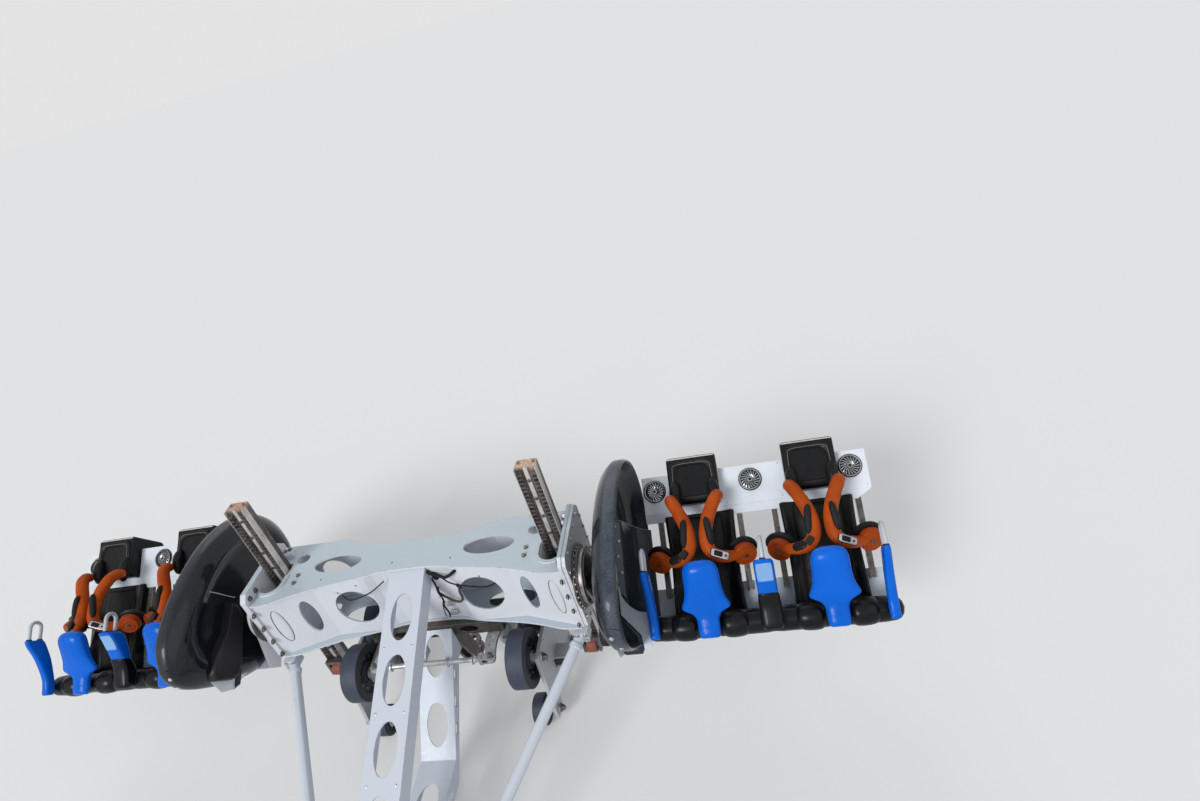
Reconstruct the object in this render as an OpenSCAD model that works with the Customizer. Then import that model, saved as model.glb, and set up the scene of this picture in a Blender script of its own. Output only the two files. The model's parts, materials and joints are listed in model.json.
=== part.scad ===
// Roller coaster car with four seats on two turning wings.
// +X is the car's right, -Y the way it travels, +Z up, the floor at Z = 0.

/* [Track] */
// Distance between the centre lines of the two rails
rail_gauge = 1220; // [1180:5:1260]
// Diameter of a rail tube
rail_d = 168; // [150:1:180]

/* [Wheels] */
// Radius of a road wheel
road_r = 200; // [180:1:212]
// Width of a road wheel
road_w = 130; // [110:1:140]
// Distance between the two road wheels of one bogie
road_pitch = 450; // [435:5:500]
// Radius of an up-stop wheel, which runs under the rail
upstop_r = 110; // [95:1:118]
// Width of an up-stop wheel
upstop_w = 90; // [70:1:110]
// Distance between the two up-stop wheels of one bogie
upstop_pitch = 580; // [540:5:640]
// Radius of a side wheel
side_r = 70; // [60:1:80]
// Width of a side wheel
side_w = 60; // [45:1:70]
// Radius of the roller on a rack's foot
roller_r = 60; // [50:1:66]
// Width of the roller on a rack's foot
roller_w = 80; // [60:1:90]
// Radius of the axle stubs of the running wheels
axle_r = 28; // [20:1:32]

/* [Cross beam] */
// Distance from the car's middle to the beam's front edge
beam_y = 627.3; // [560:5:680]
// Height of the end plates' tops over the rails
beam_rise = 1070; // [1040:5:1100]
// Half of the beam's length, to the end plates' outer faces
beam_half = 1145; // [1110:1:1170]
// Depth of an end plate, front to back
end_depth = 570; // [540:5:600]
// Height of an end plate
end_height = 636; // [620:2:660]
// Thickness of an end, its inner plate and the bearing's plate on it
end_t = 50; // [40:1:60]
// Drop from the end plates' tops to the beam's top plate
deck_drop = 80; // [60:2:100]
// Height of the beam over its top and bottom plates
box_height = 534; // [520:2:545]
// Thickness of the beam's plates
plate_t = 14; // [10:1:18]

/* [Wing drive] */
// Distance of the wing axis behind the beam's front edge
axis_back = 185; // [175:1:195]
// Drop of the wing axis below the end plates' tops
axis_drop = 320; // [300:2:340]
// Radius of the wing shaft
shaft_r = 60; // [45:1:66]
// Tooth module of the rack and pinion
tooth_m = 10; // [8:0.5:11]
// Number of teeth on a pinion
pinion_teeth = 18; // [17:1:19]
// Width of a rack
rack_w = 130; // [110:2:140]
// Thickness of a rack behind its teeth
rack_body = 75; // [60:1:90]
// Distance of a rack's middle from the inner face of its end plate
rack_inset = 81; // [77:1:88]
// Height of a rack's top over the end plates' tops
rack_top = 530; // [480:5:580]
// Length of a rack
rack_len = 1530; // [1480:10:1560]
// Radius of the slewing ring
ring_r = 190; // [170:2:210]
// Thickness of the slewing ring
ring_t = 30; // [24:1:48]

/* [Spine] */
// Width of both spine members
spine_w = 256; // [230:2:280]
// Depth of the spine's side plates
spine_depth = 120; // [100:2:130]
// Slope of the upper spine member in degrees
upper_slope = 25.2; // [24.6:0.1:25.8]
// Distance from the beam's front edge to the tow eye's centre
tow_reach = 2150; // [2100:10:2200]
// Distance from the beam's front edge back to the rear coupler's pin
tail_reach = 500; // [480:5:540]
// Radius of the coupling bores
coupling_r = 25; // [20:1:30]
// Radius of the strut tubes
strut_r = 35; // [28:1:40]

/* [Bogies] */
// Distance of a kingpin from the car's middle
king_x = 430; // [420:1:436]
// Radius of a kingpin
king_r = 30; // [25:1:36]
// Length of a steering arm, kingpin to tie rod
arm_len = 295; // [270:5:320]

/* [Wings] */
// Distance of the inner seat's middle from the car's middle
seat_x = 1930; // [1915:1:1945]
// Distance between the two seats of a wing
seat_pitch = 744; // [730:1:760]
// Recline of the seat backs from upright, in degrees
recline = 49; // [40:1:55]
// Distance of the seats' hip line behind the wing axis
hip_back = 42; // [30:1:55]
// Distance from a seat's middle to its harness hub
hub_side = 266; // [258:1:272]
// Distance from the outer seat's middle to the wing's outer end
wing_tail = 356; // [330:2:380]
// Height of the handles over their posts
handle_h = 86; // [60:2:96]
// Height of the headrests' tops over the hip line
head_top = 670; // [650:5:690]
// Width of a headrest
head_w = 326; // [300:2:340]
// Radius of a speaker
speaker_r = 75; // [60:1:82]
// Width of a seat horn at its top
horn_w = 212; // [190:2:230]
// Radius of the padded front edge of the seat pan
lip_r = 75; // [65:1:80]
// Long half axis of the leg shields
shield_a = 620; // [600:5:640]
// Short half axis of the leg shields
shield_b = 375; // [360:5:390]
// Depth of the leg shields
shield_depth = 110; // [90:5:130]

/* [Harness] */
// Radius of the harness tubes
tube_r = 43; // [34:1:45]
// Radius of a harness hub
hub_r = 74; // [60:1:78]
// Thickness of a harness hub
hub_t = 60; // [50:1:70]
// Tilt of a harness hub's axis below the seat's forward axis, in degrees
hub_tilt = 41; // [36:1:46]
// Splay of a harness hub's axis outwards, in degrees
hub_splay = 15; // [10:1:18]

/* [Hidden] */
$fn = 48;

right = 1;
left = -1;
seat_gap = 0.3;        // flat pieces that seat on each other
run_gap = 1;           // round and flat running fits
side_gap = 8;          // between a wheel and its bogie plate
pin_gap = 0.6;         // between the faces of a pinned eye and its fork
eps = 0.01;

rail_top = 2 * upstop_r + rail_d;
rail_z = rail_top - rail_d / 2;
beam_z = rail_top + beam_rise;
road_z = rail_top + road_r;
axis_y = beam_y + axis_back;
axis_z = beam_z - axis_drop;
king_y = beam_y + 245;
deck_z = -deck_drop;
floor_plate_z = -deck_drop - box_height + plate_t;
wall_h = deck_z - plate_t - floor_plate_z - 2 * seat_gap;
beam_inner = beam_half - end_t;
rack_x = beam_inner - rack_inset;
wing_end = seat_x + seat_pitch + wing_tail;

pitch_r = tooth_m * pinion_teeth / 2;
tooth_pitch = PI * tooth_m;
backlash = 2.4;
rack_root = pitch_r + 1.25 * tooth_m;
rack_bottom = beam_z + rack_top - rack_len;
strip_w = rack_w * 0.27;

white = [0.86, 0.84, 0.88];
steel = [0.55, 0.56, 0.58];
grease = [0.25, 0.21, 0.19];
black = [0.05, 0.06, 0.07];
blue = [0.03, 0.38, 0.85];
orange = [0.80, 0.32, 0.08];
chrome = [0.80, 0.82, 0.84];
tread = [0.45, 0.50, 0.56];

function oval(a, b, n = 24) = [for (i = [0 : n - 1]) [a * cos(360 * i / n), b * sin(360 * i / n)]];
function unit(v) = v / norm(v);

// A curve that eases a run of points, with n steps between two of them
function eased(p, n) = [for (i = [0 : len(p) - 2]) for (k = [0 : n - 1])
    let (t = k / n, a = p[max(i - 1, 0)], b = p[i], c = p[i + 1], d = p[min(i + 2, len(p) - 1)])
        b + (t * (c - a) + t * t * (2 * a - 5 * b + 4 * c - d) + t * t * t * (3 * b - a - 3 * c + d)) / 2,
    p[len(p) - 1]];

// A closed skin over a list of rings, each with the same number of points
module skin(rings) {
    n = len(rings[0]);
    m = len(rings);
    pts = [for (r = rings) each r];
    sides = [for (j = [0 : m - 2]) for (i = [0 : n - 1])
        [j * n + i, (j + 1) * n + i, (j + 1) * n + (i + 1) % n, j * n + (i + 1) % n]];
    polyhedron(pts, concat([[for (i = [0 : n - 1]) i]], sides,
        [[for (i = [n - 1 : -1 : 0]) (m - 1) * n + i]]), convexity = 6);
}

// Rounded rings across an upright piece, from rows of [height, width, depth, middle]
function post_ring(row, x, n = 20) =
    [for (i = [0 : n - 1])
        let (c = cos(360 * i / n), s = sin(360 * i / n))
        [x + row[1] / 2 * sign(c) * pow(abs(c), 0.7),
         -row[3] + row[2] / 2 * sign(s) * pow(abs(s), 0.7), row[0]]];
module post(rows, x) skin([for (row = rows) post_ring(row, x)]);

// A tube through a list of points, with rings square to the path
function tangent(p, i) = unit(p[min(i + 1, len(p) - 1)] - p[max(i - 1, 0)]);
function carried(p, i) = i == 0
    ? unit(cross(tangent(p, 0), [0.1, 0.2, 1]))
    : let (t = tangent(p, i), c = carried(p, i - 1)) unit(c - (c * t) * t);
module tube(p, r, n = 14)
    skin([for (i = [0 : len(p) - 1])
        let (t = tangent(p, i), a = carried(p, i), b = cross(t, a))
        [for (k = [0 : n - 1]) p[i] + r[i] * (cos(360 * k / n) * a + sin(360 * k / n) * b)]]);

// A round bar between two points
module rod(p, q, r) {
    d = q - p;
    translate(p) rotate([0, acos(d[2] / norm(d)), atan2(d[1], d[0])]) cylinder(h = norm(d), r = r);
}

module at_beam() translate([0, beam_y, beam_z]) children();
module scale_side(side) mirror([side == left ? 1 : 0, 0, 0]) children();
module both() {
    children();
    mirror([1, 0, 0]) children();
}
module along_x(x0, x1, r) translate([x0, 0, 0]) rotate([0, 90, 0]) cylinder(h = x1 - x0, r = r);

// The wing's own frame: X outwards, -Y forward of the seat back, Z up along it
module at_wing(side) scale_side(side)
    translate([0, axis_y + hip_back, axis_z - 10]) rotate([-recline, 0, 0]) children();

// Beam outline: its front edge waves back towards the middle, its rear edge is notched.
// Both edges run from the car's middle outwards; end_x is measured in from the end plate.
function end_x(d) = beam_inner - d;
front_edge = concat(eased([[0, 194], [200, 188], [384, 150], [end_x(441), 104], [end_x(254), 56],
    [end_x(145), 18], [end_x(55), 6]], 4), [[beam_inner, 6]]);
rear_edge = concat([[0, 468]], eased([[250, 470], [340, 474], [440, 500], [530, 545], [620, 554]], 4),
    [[beam_inner, 556]]);
function both_ways(p) = concat([for (i = [len(p) - 1 : -1 : 1]) [-p[i][0], p[i][1]]], p);
function reversed(p) = [for (i = [len(p) - 1 : -1 : 0]) p[i]];
deck_oval = [180, 80];
rear_oval = [50, 46];
module beam_plate(z) translate([0, 0, z]) linear_extrude(plate_t) difference() {
    polygon(concat(both_ways(front_edge), reversed(both_ways(rear_edge))));
    both() {
        translate([rack_x, axis_back]) rack_slot();
        translate([end_x(535), 325]) polygon(oval(deck_oval[0], deck_oval[1], 40));
        translate([end_x(222), 412]) polygon(oval(rear_oval[0], rear_oval[1]));
    }
}

// The slot lets the rack through behind the wing's shaft, and its front is round
slot_r = rack_w / 2 + 14;
module rack_slot() {
    circle(r = slot_r);
    translate([-slot_r, 0]) square([slot_r + rack_inset + 1, rack_root + rack_body + 14]);
}
module slot_rim() linear_extrude(12) difference() {
    intersection() {
        union() {
            circle(r = slot_r + 24);
            translate([-slot_r - 24, 0]) square([2 * slot_r + 48, 70]);
        }
        translate([-slot_r - 24, -slot_r - 24]) square([slot_r + 24 + rack_inset - seat_gap, slot_r + 94]);
    }
    rack_slot();
}

// The beam's walls in plan, from the middle outwards, and the windows in them as
// [x, y, half width, half height]
front_wall = [[200, 208], [262, 194], [312, 164], [352, 152], [end_x(390), 146], [beam_inner, 16]];
rear_wall = [[330, 440], [520, 516], [beam_inner, 520]];
wall_windows = [[462, 156, 150, 156], [end_x(290), 110, 50, 152], [end_x(325), 518, 120, 120]];
web_x = rack_x - rack_w / 2 - plate_t - 13;
pocket_x = end_x(96);
pocket_oval = [44, 156];

function left_of(d) = [-d[1], d[0]] / norm(d);
function mirrored(p) = [for (i = [len(p) - 1 : -1 : 0]) [-p[i][0], p[i][1]]];
function wall_back(p, i) = i == 0 || i == len(p) - 1
    ? let (n = left_of(i == 0 ? p[1] - p[0] : p[i] - p[i - 1])) p[i] + [0, plate_t / n[1]]
    : let (a = left_of(p[i] - p[i - 1]), b = left_of(p[i + 1] - p[i]), m = unit(a + b))
        p[i] + m * plate_t / (m * a);
module plan_wall(half) {
    p = concat(mirrored(half), half);
    linear_extrude(wall_h) polygon(concat(p, [for (i = [len(p) - 1 : -1 : 0]) wall_back(p, i)]));
}
module wall_window(w) translate([w[0], w[1] - 60, wall_h / 2])
    rotate([-90, 0, 0]) linear_extrude(120) polygon(oval(w[2], w[3]));

// The beam's walls and webs stand between its two plates
module cross_beam() color(white) at_beam() difference() {
    translate([0, 0, floor_plate_z + seat_gap]) difference() {
        union() {
            plan_wall(front_wall);
            plan_wall(rear_wall);
            both() translate([web_x, 80, 0]) cube([plate_t, 445, wall_h]);
        }
        both() {
            for (w = wall_windows) wall_window(w);
            wall_pocket();
        }
        wall_window([0, 440, 110, 110]);
    }
    both() translate([0, axis_back, -axis_drop]) along_x(web_x - 4, web_x + plate_t + 4, shaft_r + run_gap);
}

// A shallow oval pressed into the front of the outer wall
module wall_pocket() {
    a = front_wall[4];
    b = front_wall[5];
    turn = atan2(b[1] - a[1], b[0] - a[0]);
    y = a[1] + (b[1] - a[1]) * (pocket_x - a[0]) / (b[0] - a[0]);
    translate([pocket_x, y, wall_h / 2]) rotate([0, 0, turn]) rotate([90, 0, 0])
        translate([0, 0, -plate_t / 2]) linear_extrude(plate_t)
            polygon(oval(pocket_oval[0], pocket_oval[1], 32));
}
module beam_deck() color(white) at_beam() {
    beam_plate(deck_z - plate_t);
    both() translate([rack_x, axis_back, deck_z]) slot_rim();
}
module beam_floor() color(white) at_beam() beam_plate(floor_plate_z - plate_t);

// Each end has its own plate and, outside it, the plate that carries the bearing
end_corner = 46;
function end_outline(d) = let (c = end_corner, y = end_depth - d, z = -end_height + d)
    [[c + d / 2, -d], [y - c + d / 2, -d], [y, -c - d / 2], [y, z + c - d / 2],
     [y - c + d / 2, z], [c + d / 2, z], [d, z + c - d / 2], [d, -c - d / 2]];
module end_plates() color(white) at_beam() both() difference() {
    union() {
        translate([beam_inner + seat_gap, 0, 0]) rotate([90, 0, 90])
            linear_extrude(end_t / 2 - 2 * seat_gap) polygon(end_outline(0));
        translate([beam_inner + end_t / 2 - 2 * seat_gap, 0, 0]) rotate([90, 0, 90])
            linear_extrude(end_t / 2 + 2 * seat_gap) polygon(end_outline(7));
    }
    translate([0, axis_back, -axis_drop]) along_x(beam_inner - 2, beam_half + 2, shaft_r + run_gap);
}

module slewing_rings() color(grease) translate([0, axis_y, axis_z]) both() difference() {
    union() {
        along_x(beam_half + seat_gap, beam_half + ring_t, ring_r);
        along_x(beam_half + seat_gap, beam_half + ring_t * 0.45, ring_r + 22);
    }
    along_x(beam_half - 2, beam_half + ring_t + 2, shaft_r + run_gap);
}

module rack_guides() color(steel) at_beam() both() {
    y = axis_back + rack_root + rack_body + run_gap;
    lip = 40;
    inner = rack_x - rack_w / 2 - 12.7;
    outer = beam_inner - seat_gap;
    z0 = floor_plate_z + seat_gap;
    h = box_height - 2 * plate_t - 2 * seat_gap;
    translate([inner, y, z0]) cube([outer - inner, 30, h]);
    for (x = [[inner, rack_x - rack_w / 2 - 1.5], [rack_x + rack_w / 2 + 1.5, outer]])
        translate([x[0], y - lip, z0]) cube([x[1] - x[0], lip + eps, h]);
}

// The upper spine slopes from the beam's front wall down to the tow eye
spine_front = -tow_reach + 150;
spine_oval = 74;
lower_top = -1190;
module upper_spine() color([0.70, 0.76, 0.86]) at_beam() difference() {
    top_y = 215;
    top_z = -97;
    run = (top_y - spine_front) / cos(upper_slope) + 60;
    translate([0, top_y, top_z]) rotate([upper_slope, 0, 0]) difference() {
        translate([-spine_w / 2, -run, -spine_depth]) cube([spine_w, run + 90, spine_depth]);
        translate([-spine_w / 2 + plate_t, -run - 1, -spine_depth - 1])
            cube([spine_w - 2 * plate_t, run + 92, spine_depth - plate_t + 1]);
        for (i = [0 : 4])
            translate([0, -320 - 385 * i, -2 * plate_t]) linear_extrude(3 * plate_t)
                polygon(oval(spine_oval, 150, 32));
    }
    translate([-400, 208 - seat_gap, -900]) cube([800, 400, 900]);
    translate([-400, -3000, lower_top + seat_gap - 600]) cube([800, 3000, 600]);
    translate([-400, spine_front - 1000, -2000]) cube([800, 1000, 2000]);
}

module spine_side() rotate([90, 0, 90]) linear_extrude(plate_t) difference() {
    polygon([[143, -643], [-480, lower_top], [spine_front, lower_top],
        [spine_front, lower_top - spine_depth], [-560, lower_top - spine_depth],
        [60, -850], [143, -850]]);
    for (i = [0 : 2]) translate([-60 - 130 * i, -868 - 112 * i]) rotate(41) polygon(oval(42, 22, 24));
    for (i = [0 : 4]) translate([-720 - 250 * i, lower_top - 62]) polygon(oval(60, 26, 24));
}
module lower_spine() color([0.70, 0.76, 0.86]) at_beam() {
    both() translate([spine_w / 2 - plate_t, 0, 0]) spine_side();
    w = spine_w - 2 * plate_t + 2 * eps;
    slope = atan2(-643 - lower_top, 143 + 480);
    difference() {
        translate([-w / 2, 0, 0]) rotate([90, 0, 90]) linear_extrude(w)
            polygon([[143, -643], [-480, lower_top], [spine_front, lower_top],
                [spine_front, lower_top - spine_depth], [spine_front + plate_t, lower_top - spine_depth],
                [spine_front + plate_t, lower_top - plate_t], [-486, lower_top - plate_t],
                [143, -643 - plate_t * 1.3]]);
        for (i = [0 : 1]) translate([0, 16 - 330 * i, -754 - 290 * i]) rotate([slope, 0, 0])
            translate([0, 0, -30]) linear_extrude(60) polygon(oval(spine_oval, 138, 32));
        for (i = [0 : 3]) translate([0, -760 - 330 * i, lower_top - 30]) linear_extrude(60)
            polygon(oval(spine_oval, 130, 32));
    }
}

module struts() color([0.74, 0.79, 0.86]) at_beam() both() {
    foot = [beam_inner - 20, 26, -end_height - 40];
    nose = [spine_w / 2 + 46, spine_front + 90, lower_top - 60];
    rod(foot, nose, strut_r);
    translate([foot[0] - 38, -16, -end_height - 78]) cube([beam_half - 20 - foot[0] + 38, 90, 78 - seat_gap]);
    translate([0, nose[1], nose[2]]) along_x(spine_w / 2 + seat_gap, nose[0] + 24, 44);
}

frame_low = -end_height - 84;
module axle_frame() color(steel) at_beam() {
    y0 = 145;
    top = floor_plate_z - plate_t - seat_gap;
    difference() {
        translate([-king_x - 66, y0, frame_low]) cube([2 * king_x + 132, 200, top - frame_low]);
        for (x = [-250, 250]) translate([x, 0, 0]) rotate([-90, 0, 0])
            translate([0, -(frame_low + top) / 2, 0]) linear_extrude(600) polygon(oval(70, 30, 24));
    }
    both() translate([king_x, king_y - beam_y, 0]) {
        translate([0, 0, frame_low - 190]) cylinder(h = 191, r = king_r);
        translate([0, 0, frame_low - 206]) cylinder(h = 18, r = king_r + 16);
    }
}

coupling_z = lower_top - spine_depth / 2;
module rear_coupler() color(grease) at_beam() difference() {
    union() {
        for (x = [-52, 28]) translate([x, 0, 0]) rotate([90, 0, 90]) linear_extrude(24)
            polygon([[190, frame_low - seat_gap], [340, frame_low - seat_gap],
                [tail_reach - 60, coupling_z + 70], [tail_reach - 60, coupling_z - 70],
                [tail_reach - 120, coupling_z - 70]]);
        for (z = [coupling_z - 58, coupling_z + 30]) coupler_ear(z, 28);
    }
    translate([0, tail_reach, coupling_z - 100]) cylinder(h = 200, r = coupling_r);
}
module coupler_ear(z, t) {
    translate([0, tail_reach, z]) cylinder(h = t, r = 56);
    translate([-56, tail_reach - 110, z]) cube([112, 110, t]);
}

module tow_eye() color(grease) at_beam() difference() {
    union() {
        translate([-44, -tow_reach + 20, coupling_z - 26]) cube([88, 130 - seat_gap, 52]);
        translate([-90, spine_front - 26 - seat_gap, coupling_z - 50]) cube([180, 26, 100]);
        translate([0, -tow_reach, coupling_z - 26]) cylinder(h = 52, r = 56);
    }
    translate([0, -tow_reach, coupling_z - 60]) cylinder(h = 120, r = coupling_r);
}

// Bogie: plates inside and outside the rail, held on the kingpin's sleeve
in_plate = rail_gauge / 2 - road_w / 2 - side_gap - 25;
out_plate = rail_gauge / 2 + max(rail_d / 2 + 12, road_w / 2 + side_gap);
sleeve_top = beam_z + frame_low - run_gap;
arm_z = sleeve_top - 28;
module bogie(side) color([0.72, 0.74, 0.75]) scale_side(side) translate([0, king_y, 0]) {
    difference() {
        union() {
            translate([king_x, 0, sleeve_top - 186]) cylinder(h = 186, r = 52);
            translate([king_x, -70, sleeve_top - 150]) cube([in_plate - king_x + 1, 140, 34]);
            bogie_arm();
            translate([in_plate, 0, 0]) rotate([90, 0, 90]) linear_extrude(25) polygon(in_outline());
            translate([out_plate, 0, 0]) rotate([90, 0, 90]) linear_extrude(25) difference() {
                polygon(out_outline());
                translate([-side_r - 14, rail_z - side_w / 2 - 8]) square([2 * side_r + 28, side_w + 16]);
            }
            for (z = [rail_z + side_w / 2 + 6, rail_z - side_w / 2 - 24])
                translate([out_plate, -60, z]) cube([2 * side_r - 10, 120, 18]);
            for (y = [-road_pitch / 2, road_pitch / 2]) translate([0, y, road_z])
                along_x(in_plate, out_plate + 40, axle_r);
            for (y = [-upstop_pitch / 2, upstop_pitch / 2]) translate([0, y, upstop_r])
                along_x(rail_gauge / 2 - upstop_w / 2 - 12, out_plate + 40, axle_r);
            translate([rail_gauge / 2 + rail_d / 2 + side_r, 0, rail_z - side_w / 2 - 30])
                cylinder(h = side_w + 60, r = 20);
        }
        translate([king_x, 0, sleeve_top - 300]) cylinder(h = 400, r = king_r + run_gap);
        translate([king_x, -arm_len, arm_z - 60]) cylinder(h = 120, r = 16);
        for (t = [0.42, 0.66]) translate([king_x - 30 * sin(180 * t), -arm_len * t, arm_z - 60])
            cylinder(h = 120, r = 19 - 8 * t);
    }
}
function in_outline() = let (h = road_pitch / 2 + 50)
    [[-h, road_z - 50], [-h, road_z + 50], [-90, road_z + 60], [90, road_z + 60], [h, road_z + 50],
     [h, road_z - 50], [100, road_z - 110], [-100, road_z - 110]];
function out_outline() = let (h = road_pitch / 2 + 50, k = upstop_pitch / 2 + 50)
    [[-h, road_z + 40], [h, road_z + 40], [h + 10, road_z - 60], [k, upstop_r + 60], [k, upstop_r - 50],
     [k - 110, upstop_r - 50], [140, rail_z - 90], [-140, rail_z - 90], [110 - k, upstop_r - 50],
     [-k, upstop_r - 50], [-k, upstop_r + 60], [-h - 10, road_z - 60]];
module bogie_arm() translate([0, 0, arm_z - 12]) linear_extrude(24) union() {
    n = 8;
    polygon(concat(
        [for (i = [0 : n]) [king_x - 46 + 14 * i / n - 34 * sin(180 * i / n), -arm_len * i / n]],
        [for (i = [n : -1 : 0]) [king_x + 46 - 14 * i / n - 26 * sin(180 * i / n), -arm_len * i / n]]));
    translate([king_x, -arm_len]) circle(r = 32);
}

module tie_rod() color(steel) translate([0, king_y - arm_len, arm_z]) {
    rod([-king_x + 60, 0, 0], [king_x - 60, 0, 0], 17);
    both() {
        translate([king_x - 86, -24, -34]) cube([26, 48, 68]);
        for (z = [-12 - pin_gap - 14, 12 + pin_gap]) translate([0, 0, z]) {
            translate([king_x - 61, -24, 0]) cube([61, 48, 14]);
            translate([king_x, 0, 0]) cylinder(h = 14, r = 24);
        }
        translate([king_x, 0, -34]) cylinder(h = 68, r = 12);
    }
}

// A wheel on the X axis: tread, dished web and hub
module wheel(r, w, bore) rotate([0, 90, 0]) rotate_extrude($fn = 64) {
    h = w / 2;
    hub = bore + 0.4 * (0.66 * r - bore);
    polygon([[bore, -h + 4], [hub, -h + 4], [hub + 3, -h * 0.55], [r * 0.66, -h * 0.55],
        [r * 0.72, -h], [r - 8, -h], [r, -h + 8], [r, h - 8], [r - 8, h], [r * 0.72, h],
        [r * 0.66, h * 0.55], [hub + 3, h * 0.55], [hub, h - 4], [bore, h - 4]]);
}
module road_wheel(side, y) color(tread)
    translate([side * rail_gauge / 2, king_y + y * road_pitch / 2, road_z])
        wheel(road_r, road_w, axle_r + run_gap);
module upstop_wheel(side, y) color(tread)
    translate([side * rail_gauge / 2, king_y + y * upstop_pitch / 2, upstop_r])
        wheel(upstop_r, upstop_w, axle_r + run_gap);
module side_wheel(side) color(tread)
    translate([side * (rail_gauge / 2 + rail_d / 2 + side_r), king_y, rail_z]) rotate([0, 90, 0])
        wheel(side_r, side_w, 20 + run_gap);

// Rack: two toothed strips beside a plain one, and a foot that carries the roller
module rack_teeth() {
    flank = 0.9 * tooth_m * tan(20);
    half = tooth_pitch / 4 - backlash / 4;
    first = ceil((rack_bottom + 40 - axis_z) / tooth_pitch);
    last = floor((rack_bottom + rack_len - 12 - axis_z) / tooth_pitch);
    for (i = [first : last - 1]) translate([0, (i + 0.5) * tooth_pitch])
        polygon([[rack_root - pitch_r + eps, -half - flank * 1.3], [-0.9 * tooth_m, -half + flank],
            [-0.9 * tooth_m, half - flank], [rack_root - pitch_r + eps, half + flank * 1.3]]);
}
foot_z = rack_bottom - 60;
module rack(side) color(grease) scale_side(side) {
    difference() {
        union() {
            translate([rack_x - rack_w / 2, axis_y + rack_root, rack_bottom])
                cube([rack_w, rack_body, rack_len]);
            for (x = [-rack_w / 2, rack_w / 2 - strip_w])
                translate([rack_x + x, axis_y + pitch_r, axis_z]) rotate([90, 0, 90])
                    linear_extrude(strip_w) rack_teeth();
            for (x = [-roller_w / 2 - 26, roller_w / 2 + 6])
                translate([rack_x + x, axis_y + rack_root - 60, foot_z - 70]) cube([20, rack_body + 60, 131]);
            translate([rack_x - rack_w / 2, axis_y + rack_root - 60, rack_bottom - 12])
                cube([rack_w, rack_body + 60, 24]);
            translate([0, axis_y + rack_root - 20, foot_z - 28])
                along_x(rack_x - roller_w / 2 - 30, rack_x + roller_w / 2 + 30, 16);
        }
        for (i = [0 : 9]) translate([rack_x, axis_y, rack_bottom + 120 + 145 * i]) rotate([-90, 0, 0])
            cylinder(h = rack_root + 12, r = 9);
    }
}
module rack_roller(side) color([0.50, 0.20, 0.14])
    translate([side * rack_x, axis_y + rack_root - 20, foot_z - 28]) wheel(roller_r, roller_w, 16 + run_gap);

// Pinion with involute flanks, from the pitch radius and a 20 degree pressure angle
function inv(a) = tan(a) * 180 / PI - a;
function flank_at(r, base) = r <= base ? 0 : inv(acos(base / r));
module pinion() {
    base = pitch_r * cos(20);
    half = (90 - backlash * 45 / tooth_m / PI) / pinion_teeth;
    radii = [pitch_r - 1.15 * tooth_m, base, pitch_r, pitch_r + 0.55 * tooth_m, pitch_r + 0.9 * tooth_m];
    polygon([for (i = [0 : pinion_teeth - 1]) each concat(
        [for (r = radii) let (a = 360 * i / pinion_teeth - half - inv(20) + flank_at(r, base))
            r * [cos(a), sin(a)]],
        [for (k = [4 : -1 : 0]) let (r = radii[k], a = 360 * i / pinion_teeth + half + inv(20) - flank_at(r, base))
            r * [cos(a), sin(a)]])]);
}
flange_x = beam_half + ring_t + 3;
arm_end = flange_x + 157;
beam_u = [200, 320];
beam_v = [-420, -160];
module wing_arm(side) color(white) {
    scale_side(side) translate([0, axis_y, axis_z]) {
        along_x(rack_x - rack_w / 2 - 24, flange_x + 1, shaft_r);
        for (x = [-rack_w / 2, rack_w / 2 - strip_w]) translate([rack_x + x, 0, 0])
            rotate([90, 0, 90]) linear_extrude(strip_w) pinion();
        along_x(flange_x, flange_x + 24, ring_r - 6);
    }
    hull() {
        scale_side(side) translate([0, axis_y, axis_z]) along_x(flange_x + 23, flange_x + 30, 150, $fn = 32);
        at_wing(side) translate([arm_end - 10, beam_u[0], beam_v[0]])
            cube([10, beam_u[1] - beam_u[0], beam_v[1] - beam_v[0]]);
    }
}

module each_seat() for (i = [0, 1]) translate([seat_x + i * seat_pitch, 0, 0]) children();
guard_foot = 54;
shield_x = arm_end + 6;

// The wing's box beam, open at its outer end, and the plate in front of the inner seat
module wing_beam(side) color([0.72, 0.82, 0.90]) at_wing(side) {
    depth = beam_u[1] - beam_u[0];
    height = beam_v[1] - beam_v[0];
    difference() {
        translate([arm_end + seat_gap, beam_u[0], beam_v[0]])
            cube([wing_end - arm_end - seat_gap, depth, height]);
        translate([arm_end + plate_t, beam_u[0] + plate_t, beam_v[0] + plate_t])
            cube([wing_end - arm_end, depth - 2 * plate_t, height - 2 * plate_t]);
    }
    guard_plate();
}

// Between the leg shield and the first post: an arc at the top, a slope at the bottom
module guard_plate() {
    x0 = shield_x + guard_foot + seat_gap;
    x1 = max(post_x[0] - 31.5, x0 + 120);
    w = x1 - x0;
    translate([0, -lip_r - seat_gap, 0]) rotate([90, 0, 0]) linear_extrude(12)
        polygon(concat([for (t = [0 : 9 : 90]) [x0 + w * (1 - cos(t)), -100 - 190 * sin(t)]],
            [[x1, -500], [x1 - 46, -500], [x1 - 58, -420], [x0, -290]]));
}

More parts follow.
